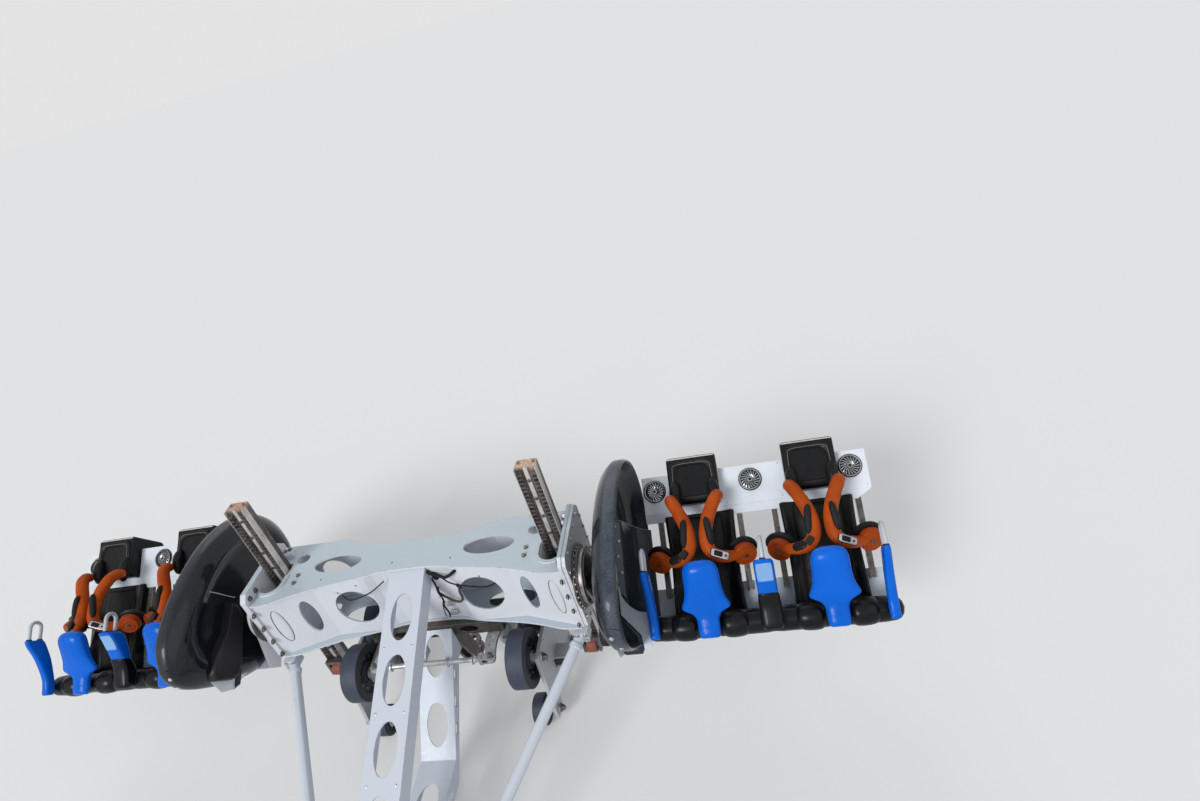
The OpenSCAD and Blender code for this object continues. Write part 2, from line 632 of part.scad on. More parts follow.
panel_v = [300, 574];
module back_panel(side) color([0.82, 0.84, 0.86]) at_wing(side) {
    difference() {
        translate([0, beam_u[0] - 50, 0]) rotate([90, 0, 0]) mirror([0, 0, 1])
            linear_extrude(20 - seat_gap) difference() {
                polygon([[seat_x - 355, panel_v[0]], [wing_end - 70, panel_v[0]], [wing_end + 20, panel_v[0] + 110],
                    [wing_end + 12, panel_v[1]], [seat_x - 355, panel_v[1]]]);
                each_seat() translate([-head_w / 2 - 2, panel_v[0] + 52]) square([head_w + 4, 400]);
            }
    }
}
speaker_x = [seat_x - 272, seat_x + seat_pitch / 2 - 10, seat_x + seat_pitch + 246];
module speakers(side) color(chrome) at_wing(side)
    for (x = speaker_x) translate([x, beam_u[0] - 50 - seat_gap, 468]) rotate([90, 0, 0])
        rotate_extrude() polygon([[0, 0], [speaker_r, 0], [speaker_r, 10], [speaker_r - 8, 16],
            [speaker_r - 14, 10], [20, 8], [12, 14], [0, 14]]);

// The moulded foot under the block between two seats
block_base = [[-452, 100, 90, 94], [-430, 128, 100, 96], [-330, 130, 110, 110], [-256, 120, 92, 150],
    [-250, 114, 90, 151]];
module seat_shells(side) color(black) at_wing(side) {
    side_guard();
    each_seat() {
        translate([-228, beam_u[0] - 46 - seat_gap, -420]) cube([456, 46, 718]);
        for (x = [-228, 198]) translate([x, beam_u[0] - 136, -420]) cube([30, 96, 380]);
    }
    x0 = seat_x - 330;
    x1 = wing_end - 55;
    translate([x0, beam_u[0] - 60, -450]) cube([x1 - x0, 59 - seat_gap, 29]);
    translate([x0, 0, -450]) cube([x1 - x0, beam_u[0] - 50, 34]);
    translate([0, 0, pan_v]) {
        along_x(x0, x1, lip_r);
        for (x = [x0, x1]) translate([x, 0, 0]) sphere(r = lip_r);
        each_seat() both() translate([0, lobe_y, 0]) rotate([0, 90, 0]) rotate_extrude() polygon(lobe);
    }
    post(block_base, seat_x + seat_pitch / 2);
}

// The moulded guard beside the inner seat: it stands on the leg shield and curves back
guard_line = [[guard_foot, -96], [108, -94], [114, -60], [118, 0], [126, 50], [150, 106], [200, 136],
    [262, 146]];
module side_guard() translate([shield_x + seat_gap, 0, 0]) difference() {
    line = concat([guard_line[0]], eased([for (i = [1 : 7]) guard_line[i]], 3));
    inner = [for (i = [len(line) - 1 : -1 : 0]) line[i] + (i == 0 ? [0, 9] : i == 1 ? [-9, 9] : [-8, 4])];
    translate([0, 0, -330]) linear_extrude(615) polygon(concat(line, inner));
    translate([0, -200, 0]) rotate([-90, 0, 0]) linear_extrude(128)
        polygon([[40, 90], [guard_foot, 96], [60, 136], [72, 176], [95, 214], [140, 255], [140, 400],
            [40, 400]]);
    translate([0, -200, 0]) rotate([-90, 0, 0]) linear_extrude(400)
        polygon([[108, -286], [150, -262], [200, -238], [300, -215], [300, -400], [108, -400]]);
}

// Headrest: a deep pod behind a hollowed front
module headrests(side) color(black) at_wing(side) each_seat() difference() {
    translate([-head_w / 2, 0, 0]) rotate([90, 0, 90]) linear_extrude(head_w)
        polygon([[60, panel_v[0] + 70], [60, head_top - 16], [76, head_top], [360, head_top - 26],
            [398, head_top - 56], [398, head_top - 110], [250, panel_v[0] + 66], [200, panel_v[0] + 52 + seat_gap],
            [90, panel_v[0] + 52 + seat_gap]]);
    translate([0, 0, panel_v[0] + 100]) linear_extrude(head_top - panel_v[0] - 130)
        polygon([[-118, 40], [118, 40], [84, 142], [-84, 142]]);
}

pan_v = -400;
pan_front = lip_r + seat_gap;

// The thigh pads end in a round lobe on each side of a horn
lobe_y = -18;
lobe = [[0, 62], [30, 63], [52, 69], [68, 80], [78, 95], [84, 115], [84, 160], [81, 190], [70, 222], [50, 238],
    [0, 238]];
horn_rows = [[-474, 84, 40, 100], [-462, 104, 62, 110], [-430, 112, 70, 112], [pan_v, 116, 72, pan_front + 36],
    [-352, 150, 76, 118], [-318, 206, 80, 126], [-290, 226, 84, 136], [-250, 214, 94, 152], [-190, 200, 108, 182],
    [-110, 210, 122, 216], [-74, 206, 118, 226], [-48, 182, 98, 231], [-30, 132, 66, 234], [-22, 60, 30, 235]];
module horns(side) color(blue) at_wing(side)
    each_seat() post([for (r = horn_rows) [r[0], r[1] * horn_w / 212, r[2], r[3]]], 0);

post_x = [seat_x - 330, seat_x + seat_pitch / 2, seat_x + seat_pitch + 306];
blade = [[-455, 50, 60, 108], [-440, 60, 68, 112], [pan_v, 62, 72, pan_front + 36], [-330, 60, 76, 126],
    [-200, 56, 110, 180], [-110, 52, 140, 236], [-60, 48, 132, 262]];
block = [[-249.6, 112, 88, 151], [-230, 120, 94, 158], [-140, 120, 124, 206], [-90, 120, 136, 238],
    [-68, 114, 130, 256], [-60, 104, 122, 262]];
module side_posts(side) color(blue) at_wing(side) {
    post(blade, post_x[0]);
    post(block, post_x[1]);
    post(blade, post_x[2]);
}

handle_r = 13;
handle_half = 40;
module handles(side) color(chrome) at_wing(side)
    for (x = post_x) translate([x, -262, -60 + seat_gap]) {
        for (y = [-handle_half, handle_half]) translate([0, y, 0]) cylinder(h = handle_h, r = handle_r);
        translate([0, 0, handle_h]) rotate([0, 0, 90]) rotate([90, 0, 0])
            rotate_extrude(angle = 180) translate([handle_half, 0]) circle(r = handle_r);
    }

// The hub axis leans forward and down, and splays outwards
hub_axis = [sin(hub_splay), -cos(hub_splay) * cos(hub_tilt), -cos(hub_splay) * sin(hub_tilt)];
module along_hub(a, b, r) rod([hub_side, 0, 0] + a * hub_axis, [hub_side, 0, 0] + b * hub_axis, r);
// Each hub's bracket stands on an upright, which also carries the panel
upright_w = 36;
upright_t = 30;
module hip_brackets(side) color(grease) at_wing(side) each_seat() both() {
    along_hub(-hub_t / 2 - 26, -hub_t / 2 - 2, 44);
    along_hub(-hub_t / 2 - 4, hub_t / 2 + 8, 12);
    translate([hub_side - 26, 34, 14]) cube([30, beam_u[0] - upright_t - 34 + eps, 34]);
    translate([hub_side - 24, beam_u[0] - upright_t, beam_v[1] - 60])
        cube([upright_w, upright_t - seat_gap, 560 - beam_v[1] + 60]);
}

harness_path = [[236, -16, 4], [196, -56, 0], [140, -94, 6], [92, -114, 24], [68, -120, 62],
    [62, -118, 118], [70, -114, 190], [90, -106, 270], [114, -92, 350], [134, -66, 412], [146, -30, 444],
    [150, 4, 444], [150, 14, 434]];
harness_r = [30, 34, 37, 39, 42, 43, 43, 43, 43, 43, 40, 34, 16];
module harness_half(x, half) translate([x, 0, 0]) scale_side(half) {
    difference() {
        union() {
            along_hub(-hub_t / 2, hub_t / 2, hub_r);
            tube(harness_path, [for (r = harness_r) r * tube_r / 43]);
        }
        along_hub(-hub_t, hub_t, 12 + run_gap);
    }
}
module harness(side, seat, half) color(orange)
    at_wing(side) harness_half(seat_x + seat * seat_pitch, half);

module leg_shield(side) color(black) at_wing(side) difference() {
    rows = [[42, 0.05], [42, 0.56], [30, 0.62], [6, 0.68], [0, 0.76], [4, 0.88], [22, 0.96], [56, 1],
        [shield_depth - 8, 1], [shield_depth, 0.985], [shield_depth - 8, 0.97], [60, 0.97], [34, 0.93],
        [18, 0.86], [14, 0.76], [22, 0.69], [44, 0.63], [guard_foot, 0.57], [guard_foot, 0.05]];
    union() {
        translate([shield_x, 43, 19]) skin([for (r = rows)
            [for (p = oval(1, 1, 40)) [r[0], shield_b * r[1] * p[0], shield_a * r[1] * p[1]]]]);
        translate([shield_x, -60, 0]) rotate([90, 0, 0]) linear_extrude(26) polygon([[40, -300], [guard_foot, -296],
            [168, -424], [180, -500], [166, -530], [60, -530], [14, -500], [8, -400]]);
    }
    translate([shield_x - 50, beam_u[0] - seat_gap, beam_v[0] - seat_gap])
        cube([400, beam_u[1] - beam_u[0] + 2 * seat_gap, beam_v[1] - beam_v[0] + 2 * seat_gap]);
}

cross_beam();
beam_deck();
beam_floor();
end_plates();
slewing_rings();
rack_guides();
upper_spine();
lower_spine();
struts();
axle_frame();
rear_coupler();
tow_eye();
bogie(left);  // bogie_left
bogie(right);  // bogie_right
tie_rod();
road_wheel(left, -1);  // road_wheel_fl
road_wheel(right, -1);  // road_wheel_fr
road_wheel(left, 1);  // road_wheel_rl
road_wheel(right, 1);  // road_wheel_rr
upstop_wheel(left, -1);  // upstop_wheel_fl
upstop_wheel(right, -1);  // upstop_wheel_fr
upstop_wheel(left, 1);  // upstop_wheel_rl
upstop_wheel(right, 1);  // upstop_wheel_rr
side_wheel(left);  // side_wheel_left
side_wheel(right);  // side_wheel_right
rack(left);  // rack_left
rack(right);  // rack_right
rack_roller(left);  // rack_roller_left
rack_roller(right);  // rack_roller_right
wing_arm(left);  // wing_arm_left
wing_beam(left);  // wing_beam_left
leg_shield(left);  // leg_shield_left
back_panel(left);  // back_panel_left
speakers(left);  // speakers_left
seat_shells(left);  // seat_shells_left
headrests(left);  // headrests_left
horns(left);  // horns_left
side_posts(left);  // side_posts_left
handles(left);  // handles_left
hip_brackets(left);  // hip_brackets_left
wing_arm(right);  // wing_arm_right
wing_beam(right);  // wing_beam_right
leg_shield(right);  // leg_shield_right
back_panel(right);  // back_panel_right
speakers(right);  // speakers_right
seat_shells(right);  // seat_shells_right
headrests(right);  // headrests_right
horns(right);  // horns_right
side_posts(right);  // side_posts_right
handles(right);  // handles_right
hip_brackets(right);  // hip_brackets_right
harness(left, 1, right);  // harness_1a
harness(left, 1, left);  // harness_1b
harness(left, 0, right);  // harness_2a
harness(left, 0, left);  // harness_2b
harness(right, 0, left);  // harness_3a
harness(right, 0, right);  // harness_3b
harness(right, 1, left);  // harness_4a
harness(right, 1, right);  // harness_4b
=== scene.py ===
# Looks of the four-seat wing coaster car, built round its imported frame.
# Metres, +X the car's right, -Y the way it travels, +Z up, the floor at Z = 0.
import json
import math

import bmesh
import bpy
from mathutils import Matrix, Vector


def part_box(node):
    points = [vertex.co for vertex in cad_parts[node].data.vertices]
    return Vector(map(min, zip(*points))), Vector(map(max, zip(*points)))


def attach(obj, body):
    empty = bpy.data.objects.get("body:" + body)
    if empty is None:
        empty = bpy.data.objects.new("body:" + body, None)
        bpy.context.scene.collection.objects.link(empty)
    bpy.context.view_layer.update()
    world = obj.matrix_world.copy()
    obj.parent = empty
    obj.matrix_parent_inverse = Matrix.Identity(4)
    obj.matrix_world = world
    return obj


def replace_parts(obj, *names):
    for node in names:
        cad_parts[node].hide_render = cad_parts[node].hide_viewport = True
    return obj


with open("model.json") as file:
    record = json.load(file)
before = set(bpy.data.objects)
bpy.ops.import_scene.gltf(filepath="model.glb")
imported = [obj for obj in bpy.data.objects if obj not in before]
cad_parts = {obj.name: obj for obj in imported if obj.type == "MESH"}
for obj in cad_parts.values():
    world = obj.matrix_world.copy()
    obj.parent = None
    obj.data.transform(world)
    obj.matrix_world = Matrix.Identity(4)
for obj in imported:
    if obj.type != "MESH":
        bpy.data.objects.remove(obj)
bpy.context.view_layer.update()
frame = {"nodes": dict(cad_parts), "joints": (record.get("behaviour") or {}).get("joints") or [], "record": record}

# Places taken from the frame
JOINTS = {j["name"]: j for j in frame["joints"]}


def joint_at(name):
    return Vector(JOINTS[name]["pos_m"])


AXIS = joint_at("wing_right_turn")
HIP = joint_at("harness_3a_swing")
OUTER_HIP_X = joint_at("harness_3b_swing").x
SEAT_X = (HIP.x + OUTER_HIP_X) / 2
SEAT_PITCH = joint_at("harness_4a_swing").x - HIP.x
HUB_SIDE = (OUTER_HIP_X - HIP.x) / 2
PLATE_LOW, PLATE_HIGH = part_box("end_plates")
BEAM_FRONT = PLATE_LOW.y
BEAM_TOP = PLATE_HIGH.z
RACK_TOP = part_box("rack_right")[1].z
RECLINE = math.radians(49)
SIDES = {"left": -1, "right": 1}

# The wing's own frame: X outwards, -Y forward of the seat back, Z up along it
WING = Matrix.Translation((0, HIP.y, HIP.z)) @ Matrix.Rotation(-RECLINE, 4, "X")


def wing_place(side):
    return Matrix.Diagonal((side, 1, 1, 1)) @ WING


# Mesh tools
def loft(rings, caps=True):
    """Vertices and faces of a skin over rings with the same number of points."""
    count, last = len(rings[0]), len(rings) - 1
    verts = [Vector(p) for ring in rings for p in ring]
    faces = []
    for a in range(0, last * count, count):
        for i in range(count):
            k = (i + 1) % count
            faces.append((a + i, a + k, a + count + k, a + count + i))
    if caps:
        faces.append(tuple(range(count - 1, -1, -1)))
        faces.append(tuple(last * count + i for i in range(count)))
    return verts, faces


def grid(rows):
    """Vertices and faces of an open sheet from rows of points."""
    count = len(rows[0])
    verts = [Vector(p) for row in rows for p in row]
    faces = []
    for j in range(len(rows) - 1):
        for i in range(count - 1):
            a = j * count + i
            faces.append((a, a + 1, a + count + 1, a + count))
    return verts, faces


def on_circle(k, n):
    """Cosine and sine at step k of n round a circle."""
    return math.cos(math.tau * k / n), math.sin(math.tau * k / n)


def circle(r, h, n, steps=None):
    """Points round the Z axis at a radius and a height."""
    return [(r * c, r * s, h) for c, s in (on_circle(k, n) for k in range(steps or n))]


def oval(a, b, n=32, power=1.0):
    """Points of an oval in plan; a power under 1 squares its corners."""
    return [(a * math.copysign(abs(c) ** power, c), b * math.copysign(abs(s) ** power, s))
            for c, s in (on_circle(i, n) for i in range(n))]


def lathe(profile, n=32, caps=True):
    """A turned solid about Z from (radius, height) pairs."""
    return loft([circle(r, h, n) for r, h in profile], caps)


def between(p0, p1, p2, p3, t):
    """A Catmull-Rom curve's point between p1 and p2."""
    return 0.5 * (2 * p1 + (p2 - p0) * t + (2 * p0 - 5 * p1 + 4 * p2 - p3) * t * t
                  + (3 * p1 - p0 - 3 * p2 + p3) * t ** 3)


def curve_through(points, steps=6):
    """A curve through the points, which may carry a radius as a fourth value."""
    points = [Vector(p) for p in points]
    last = len(points) - 1
    dense = []
    for i in range(last):
        near = [points[min(max(i + k, 0), last)] for k in (-1, 0, 1, 2)]
        dense += [between(*near, k / steps) for k in range(steps)]
    return dense + [points[-1]]


def tube(points, radius=None, n=12, flat=1.0):
    """A tube along points; each point's fourth value is its radius where none is given."""
    centres = [Vector(p[:3]) for p in points]
    radii = [radius or p[3] for p in points]
    last = len(centres) - 1
    across, rings = None, []
    for i, c in enumerate(centres):
        along = (centres[min(i + 1, last)] - centres[max(i - 1, 0)]).normalized()
        if across is None:
            across = along.cross(Vector((0.1, 0.2, 1))).normalized()
        across = (across - along * across.dot(along)).normalized()
        up = along.cross(across)
        rings.append([c + radii[i] * (x * across + flat * y * up)
                      for x, y in (on_circle(k, n) for k in range(n))])
    return loft(rings)


def slab(outline, thickness):
    """A flat plate in the XY plane from Z = 0 up."""
    return loft([[(x, y, 0) for x, y in outline], [(x, y, thickness) for x, y in outline]])


def box_shape(centre, size):
    c, s = Vector(centre), Vector(size) / 2
    return loft([[(c.x + sx * s.x, c.y + sy * s.y, c.z + sz * s.z)
                  for sx, sy in ((-1, -1), (1, -1), (1, 1), (-1, 1))] for sz in (-1, 1)])


def moved(shape, matrix):
    verts, faces = shape
    flip = matrix.determinant() < 0
    return [matrix @ v for v in verts], [tuple(reversed(f)) if flip else f for f in faces]


def shifted(shape, *by):
    return moved(shape, Matrix.Translation(by))


def joined(shapes):
    verts, faces = [], []
    for v, f in shapes:
        base = len(verts)
        verts += v
        faces += [tuple(base + i for i in face) for face in f]
    return verts, faces


def towards(point, direction):
    """A place with its Z axis along a direction."""
    turn = Vector(direction).to_track_quat("Z", "Y").to_matrix().to_4x4()
    return Matrix.Translation(point) @ turn


def piece(name, shape, body, finish, slot, place=None, bevel=0.0, sharp=40, segments=2):
    """An object from a shape, riding on a body, with its finish; its record slot is not used."""
    verts, faces = moved(shape, place) if place else shape
    mesh = bpy.data.meshes.new(name)
    mesh.from_pydata(verts, [], faces)
    work = bmesh.new()
    work.from_mesh(mesh)
    bmesh.ops.remove_doubles(work, verts=work.verts, dist=1e-6)
    bmesh.ops.recalc_face_normals(work, faces=work.faces)
    limit = math.radians(sharp)
    for face in work.faces:
        face.smooth = True
    for edge in work.edges:
        edge.smooth = len(edge.link_faces) != 2 or edge.calc_face_angle(0) < limit
    work.to_mesh(mesh)
    work.free()
    made = bpy.data.objects.new(name, mesh)
    bpy.context.scene.collection.objects.link(made)
    mesh.materials.append(finish)
    if bevel:
        cut = made.modifiers.new("bevel", "BEVEL")
        cut.width, cut.segments, cut.limit_method, cut.angle_limit = bevel, segments, "ANGLE", limit
    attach(made, body)
    return made


# Material tools
def node(tree, kind, values=None, **props):
    made = tree.nodes.new("ShaderNode" + kind)
    for key, value in props.items():
        setattr(made, key, value)
    for key, value in (values or {}).items():
        if isinstance(value, bpy.types.NodeSocket):
            tree.links.new(value, made.inputs[key])
        else:
            made.inputs[key].default_value = value
    return made


def noise(tree, coords, scale, detail=4.0, rough=0.55, stretch=None):
    if stretch:
        coords = node(tree, "Mapping", {"Vector": coords, "Scale": stretch}).outputs[0]
    return node(tree, "TexNoise", {"Vector": coords, "Scale": scale, "Detail": detail,
                                             "Roughness": rough}).outputs["Fac"]


def ranged(tree, value, low, high, to_low=0.0, to_high=1.0):
    return node(tree, "MapRange", {"Value": value, "From Min": low, "From Max": high,
                                             "To Min": to_low, "To Max": to_high}).outputs[0]


def calc(tree, operation, a, b=0.0):
    return node(tree, "Math", {0: a, 1: b}, operation=operation).outputs[0]


def times(tree, a, b):
    return calc(tree, "MULTIPLY", a, b)


def blended(tree, share, a, b):
    """Colour a, or colour b where the share is 1."""
    made = node(tree, "Mix", data_type="RGBA")
    for socket, value in ((0, share), (6, a), (7, b)):
        if isinstance(value, bpy.types.NodeSocket):
            tree.links.new(value, made.inputs[socket])
        else:
            made.inputs[socket].default_value = (*value, 1)
    return made.outputs[2]


def shader(name, rough, **sockets):
    """A new material with its tree, its shader and the object's own coordinates."""
    made = bpy.data.materials.new(name)
    made.use_nodes = True
    tree = made.node_tree
    bsdf = tree.nodes["Principled BSDF"]
    for key, value in {"Roughness": rough, **sockets}.items():
        bsdf.inputs[key.replace("_", " ")].default_value = value
    return made, tree, bsdf, node(tree, "TexCoord").outputs["Object"]


def normal_of(tree, axis):
    """One axis of the face's direction in the object's own frame."""
    return node(tree, "SeparateXYZ", {0: node(tree, "TexCoord").outputs["Normal"]}).outputs[axis]


def coloured(tree, bsdf, colour, rough=None):
    tree.links.new(colour, bsdf.inputs["Base Color"])
    if rough:
        tree.links.new(rough, bsdf.inputs["Roughness"])


def bumped(tree, bsdf, height, strength, distance):
    made = node(tree, "Bump", {"Height": height, "Strength": strength, "Distance": distance})
    tree.links.new(made.outputs[0], bsdf.inputs["Normal"])


def worn_edge(tree, radius):
    """1 on the convex and concave edges of a piece, 0 on its faces."""
    soft = node(tree, "Bevel", {"Radius": radius}, samples=4).outputs[0]
    true = node(tree, "NewGeometry").outputs["Normal"]
    dot = node(tree, "VectorMath", {0: soft, 1: true}, operation="DOT_PRODUCT").outputs["Value"]
    return ranged(tree, calc(tree, "SUBTRACT", 1.0, dot), 0.02, 0.12)


# Materials
def paint(name, base, dust, grease, rough=0.38):
    """Sprayed paint: dusty upper faces, greasy streaks, bare chips along the edges."""
    made, tree, bsdf, coords = shader(name, rough, Coat_Weight=0.15, Coat_Roughness=0.25)
    cloud = noise(tree, coords, 2.1)
    fine = noise(tree, coords, 46, 6)
    colour = blended(tree, ranged(tree, cloud, 0.3, 0.75), base, [c * 0.93 for c in base])
    lying = times(tree, ranged(tree, normal_of(tree, "Z"), 0.6, 0.95), 0.85)
    colour = blended(tree, lying, colour, dust)
    streak = noise(tree, coords, 7, 5, 0.6, (3.0, 3.0, 0.35))
    marks = times(tree, ranged(tree, streak, 0.60, 0.78), ranged(tree, cloud, 0.46, 0.66))
    colour = blended(tree, times(tree, marks, 0.5), colour, grease)
    speck = ranged(tree, noise(tree, coords, 130, 2), 0.73, 0.76)
    colour = blended(tree, times(tree, speck, 0.7), colour, grease)
    chip = times(tree, worn_edge(tree, 0.006), ranged(tree, fine, 0.55, 0.60))
    colour = blended(tree, chip, colour, (0.20, 0.18, 0.17))
    coloured(tree, bsdf, colour, ranged(tree, fine, 0.3, 0.7, rough - 0.07, rough + 0.16))
    bumped(tree, bsdf, fine, 0.12, 0.001)
    return made


def oiled(name, base, light, rust=None, rough=0.42, metal=0.75, rust_share=0.6):
    """Bare machined steel under old grease, with rust where asked."""
    made, tree, bsdf, coords = shader(name, rough, Metallic=metal)
    cloud = noise(tree, coords, 9, 6, 0.65)
    grain = noise(tree, coords, 60, 5, 0.6, (1, 1, 0.18))
    colour = blended(tree, ranged(tree, cloud, 0.35, 0.68), base, light)
    colour = blended(tree, ranged(tree, grain, 0.55, 0.72), colour, [c * 0.45 for c in base])
    if rust:
        patch = ranged(tree, noise(tree, coords, 5.5, 8, 0.7), rust_share, rust_share + 0.1)
        colour = blended(tree, patch, colour, rust)
    colour = blended(tree, times(tree, worn_edge(tree, 0.004), 0.6), colour, (0.62, 0.60, 0.57))
    coloured(tree, bsdf, colour, ranged(tree, cloud, 0.3, 0.7, rough - 0.14, rough + 0.22))
    bumped(tree, bsdf, grain, 0.25, 0.001)
    return made


def gloss(name, base, rough=0.16, scuff=(0.16, 0.17, 0.19), scuffs=0.68, coat=0.08, level=0.15):
    """Moulded glossy plastic: faint orange peel, fine scuffs and rubbed edges."""
    sockets = {"Coat_Weight": coat, "Coat_Roughness": 0.08, "Specular_IOR_Level": level}
    made, tree, bsdf, coords = shader(name, rough, **sockets)
    cloud = noise(tree, coords, 3.2)
    scratch = noise(tree, coords, 34, 7, 0.75, (1.0, 0.25, 1.0))
    colour = blended(tree, ranged(tree, cloud, 0.35, 0.7), base, [min(1, c * 1.18 + 0.004) for c in base])
    mark = times(tree, ranged(tree, scratch, scuffs, scuffs + 0.09), ranged(tree, cloud, 0.45, 0.7))
    colour = blended(tree, times(tree, mark, 0.45), colour, scuff)
    edge = times(tree, worn_edge(tree, 0.008), ranged(tree, scratch, 0.42, 0.62))
    colour = blended(tree, times(tree, edge, 0.55), colour, scuff)
    coloured(tree, bsdf, colour, ranged(tree, scratch, 0.35, 0.75, rough, rough + 0.22))
    bumped(tree, bsdf, noise(tree, coords, 90, 2), 0.05, 0.001)
    return made


def rubber(name, tread, side):
    """A wheel: worn polyurethane on the tread, dark painted metal on its sides."""
    made, tree, bsdf, coords = shader(name, 0.6)
    facing = calc(tree, "ABSOLUTE", normal_of(tree, "X"))
    band = noise(tree, coords, 30, 4, 0.6, (4.0, 0.4, 0.4))
    worn = blended(tree, ranged(tree, band, 0.35, 0.7), tread, [c * 0.72 for c in tread])
    dirty = blended(tree, ranged(tree, noise(tree, coords, 12, 6), 0.4, 0.7), side, [c * 1.9 for c in side])
    colour = blended(tree, ranged(tree, facing, 0.4, 0.6), worn, dirty)
    coloured(tree, bsdf, colour)
    bumped(tree, bsdf, band, 0.2, 0.002)
    return made


def vinyl(name, base, seam, rough=0.36):
    """Padded coated fabric: fine grain, soft creases, darker rubbed patches."""
    made, tree, bsdf, coords = shader(name, rough, Specular_IOR_Level=0.12)
    cloud = noise(tree, coords, 6.5, 5)
    crease = noise(tree, coords, 15, 4, 0.6, (1.0, 1.0, 2.4))
    grain = node(tree, "TexVoronoi", {"Vector": coords, "Scale": 420}).outputs["Distance"]
    colour = blended(tree, ranged(tree, cloud, 0.35, 0.7), base, seam)
    soiled = times(tree, ranged(tree, crease, 0.62, 0.80), 0.45)
    colour = blended(tree, soiled, colour, [c * 0.35 for c in base])
    coloured(tree, bsdf, colour, ranged(tree, crease, 0.3, 0.8, rough - 0.08, rough + 0.2))
    height = calc(tree, "ADD", times(tree, crease, 6.0), times(tree, grain, 0.35))
    bumped(tree, bsdf, height, 0.35, 0.0015)
    return made


def mirror_metal(name, base, rough=0.12):
    """Polished chrome with fine wiping marks and dull spots."""
    made, tree, bsdf, coords = shader(name, rough, Metallic=1.0)
    wipe = noise(tree, coords, 55, 6, 0.7, (1.0, 0.2, 1.0))
    spot = ranged(tree, noise(tree, coords, 140, 3), 0.66, 0.72)
    colour = blended(tree, times(tree, spot, 0.5), base, (0.36, 0.33, 0.30))
    coloured(tree, bsdf, colour, ranged(tree, wipe, 0.3, 0.8, rough - 0.04, rough + 0.2))
    bumped(tree, bsdf, wipe, 0.05, 0.0006)
    return made


def rack_steel(name):
    """Rack steel: dark grease over its length, with rust on the top end."""
    made, tree, bsdf, coords = shader(name, 0.45, Metallic=0.6)
    height = node(tree, "SeparateXYZ", {0: coords}).outputs["Z"]
    cloud = noise(tree, coords, 14, 7, 0.7)
    fine = noise(tree, coords, 70, 5, 0.6, (1, 1, 0.3))
    colour = blended(tree, ranged(tree, cloud, 0.35, 0.65), (0.055, 0.045, 0.042), (0.19, 0.17, 0.165))
    ragged = calc(tree, "ADD", height, times(tree, cloud, 0.10))
    top = times(tree, ranged(tree, ragged, RACK_TOP + 0.020, RACK_TOP + 0.046), 0.9)
    rusty = blended(tree, ranged(tree, fine, 0.4, 0.62), (0.42, 0.19, 0.09), (0.55, 0.45, 0.38))
    colour = blended(tree, top, colour, rusty)
    colour = blended(tree, times(tree, worn_edge(tree, 0.004), 0.55), colour, (0.52, 0.50, 0.49))
    coloured(tree, bsdf, colour, ranged(tree, cloud, 0.3, 0.7, 0.24, 0.62))
    bumped(tree, bsdf, fine, 0.35, 0.001)
    return made


def floor_grey(name):
    """A plain pale floor that glows a little where the camera sees it; its shadows stay."""
    made, tree, bsdf, coords = shader(name, 1.0, Specular_IOR_Level=0.0)
    colour = blended(tree, noise(tree, coords, 1.4), [FLOOR_TONE * 0.995] * 3, [FLOOR_TONE * 1.005] * 3)
    coloured(tree, bsdf, colour)
    glow = node(tree, "Emission", {"Color": (1, 1, 1, 1), "Strength": FLOOR_GLOW})
    path = node(tree, "LightPath")
    seen = calc(tree, "MAXIMUM", path.outputs["Is Camera Ray"], path.outputs["Is Glossy Ray"])
    none = node(tree, "Emission", {"Color": (0, 0, 0, 1), "Strength": 0.0})
    shown = node(tree, "MixShader", {0: seen, 1: none.outputs[0], 2: glow.outputs[0]})
    both = node(tree, "AddShader", {0: bsdf.outputs[0], 1: shown.outputs[0]})
    tree.links.new(both.outputs[0], tree.nodes["Material Output"].inputs["Surface"])
    return made


FINISH = {
    "beam_paint": paint("beam_white", (0.72, 0.745, 0.80), (0.46, 0.555, 0.62), (0.20, 0.19, 0.18)),
    "spine_paint": paint("spine_white", (0.62, 0.68, 0.77), (0.62, 0.68, 0.75), (0.14, 0.13, 0.14)),
    "wing_paint": paint("wing_blue_white", (0.56, 0.64, 0.76), (0.58, 0.66, 0.74), (0.18, 0.18, 0.20)),
    "bogie_steel": paint("bogie_grey", (0.46, 0.48, 0.51), (0.36, 0.36, 0.36), (0.07, 0.065, 0.065), 0.45),
    "dark_steel": oiled("dark_steel", (0.055, 0.05, 0.05), (0.16, 0.14, 0.13), (0.20, 0.09, 0.05)),
    "bright_steel": oiled("bright_steel", (0.42, 0.43, 0.45), (0.62, 0.63, 0.65), rough=0.32, metal=0.9),
    "greased_steel": rack_steel("rack_steel"),
    "wheel_tread": rubber("wheel_tread", (0.042, 0.056, 0.088), (0.009, 0.011, 0.015)),
    "roller_tread": rubber("roller_tread", (0.30, 0.07, 0.045), (0.08, 0.05, 0.04)),
    "shield_plastic": gloss("shield_black", (0.004, 0.006, 0.010)),
    "panel_plastic": gloss("panel_white", (0.72, 0.78, 0.85), 0.24, (0.35, 0.34, 0.33), 0.7, 0.1, level=0.3),
    "chrome_trim": mirror_metal("chrome", (0.78, 0.79, 0.82)),
    "seat_plastic": gloss("seat_black", (0.004, 0.0045, 0.006), 0.22),
    "blue_plastic": gloss("blue_gloss", (0.0, 0.118, 0.62), 0.17, (0.06, 0.26, 0.70), 0.7, 0.06, level=0.12),
    "harness_vinyl": vinyl("orange_vinyl", (0.50, 0.082, 0.007), (0.36, 0.055, 0.006), 0.42),
}


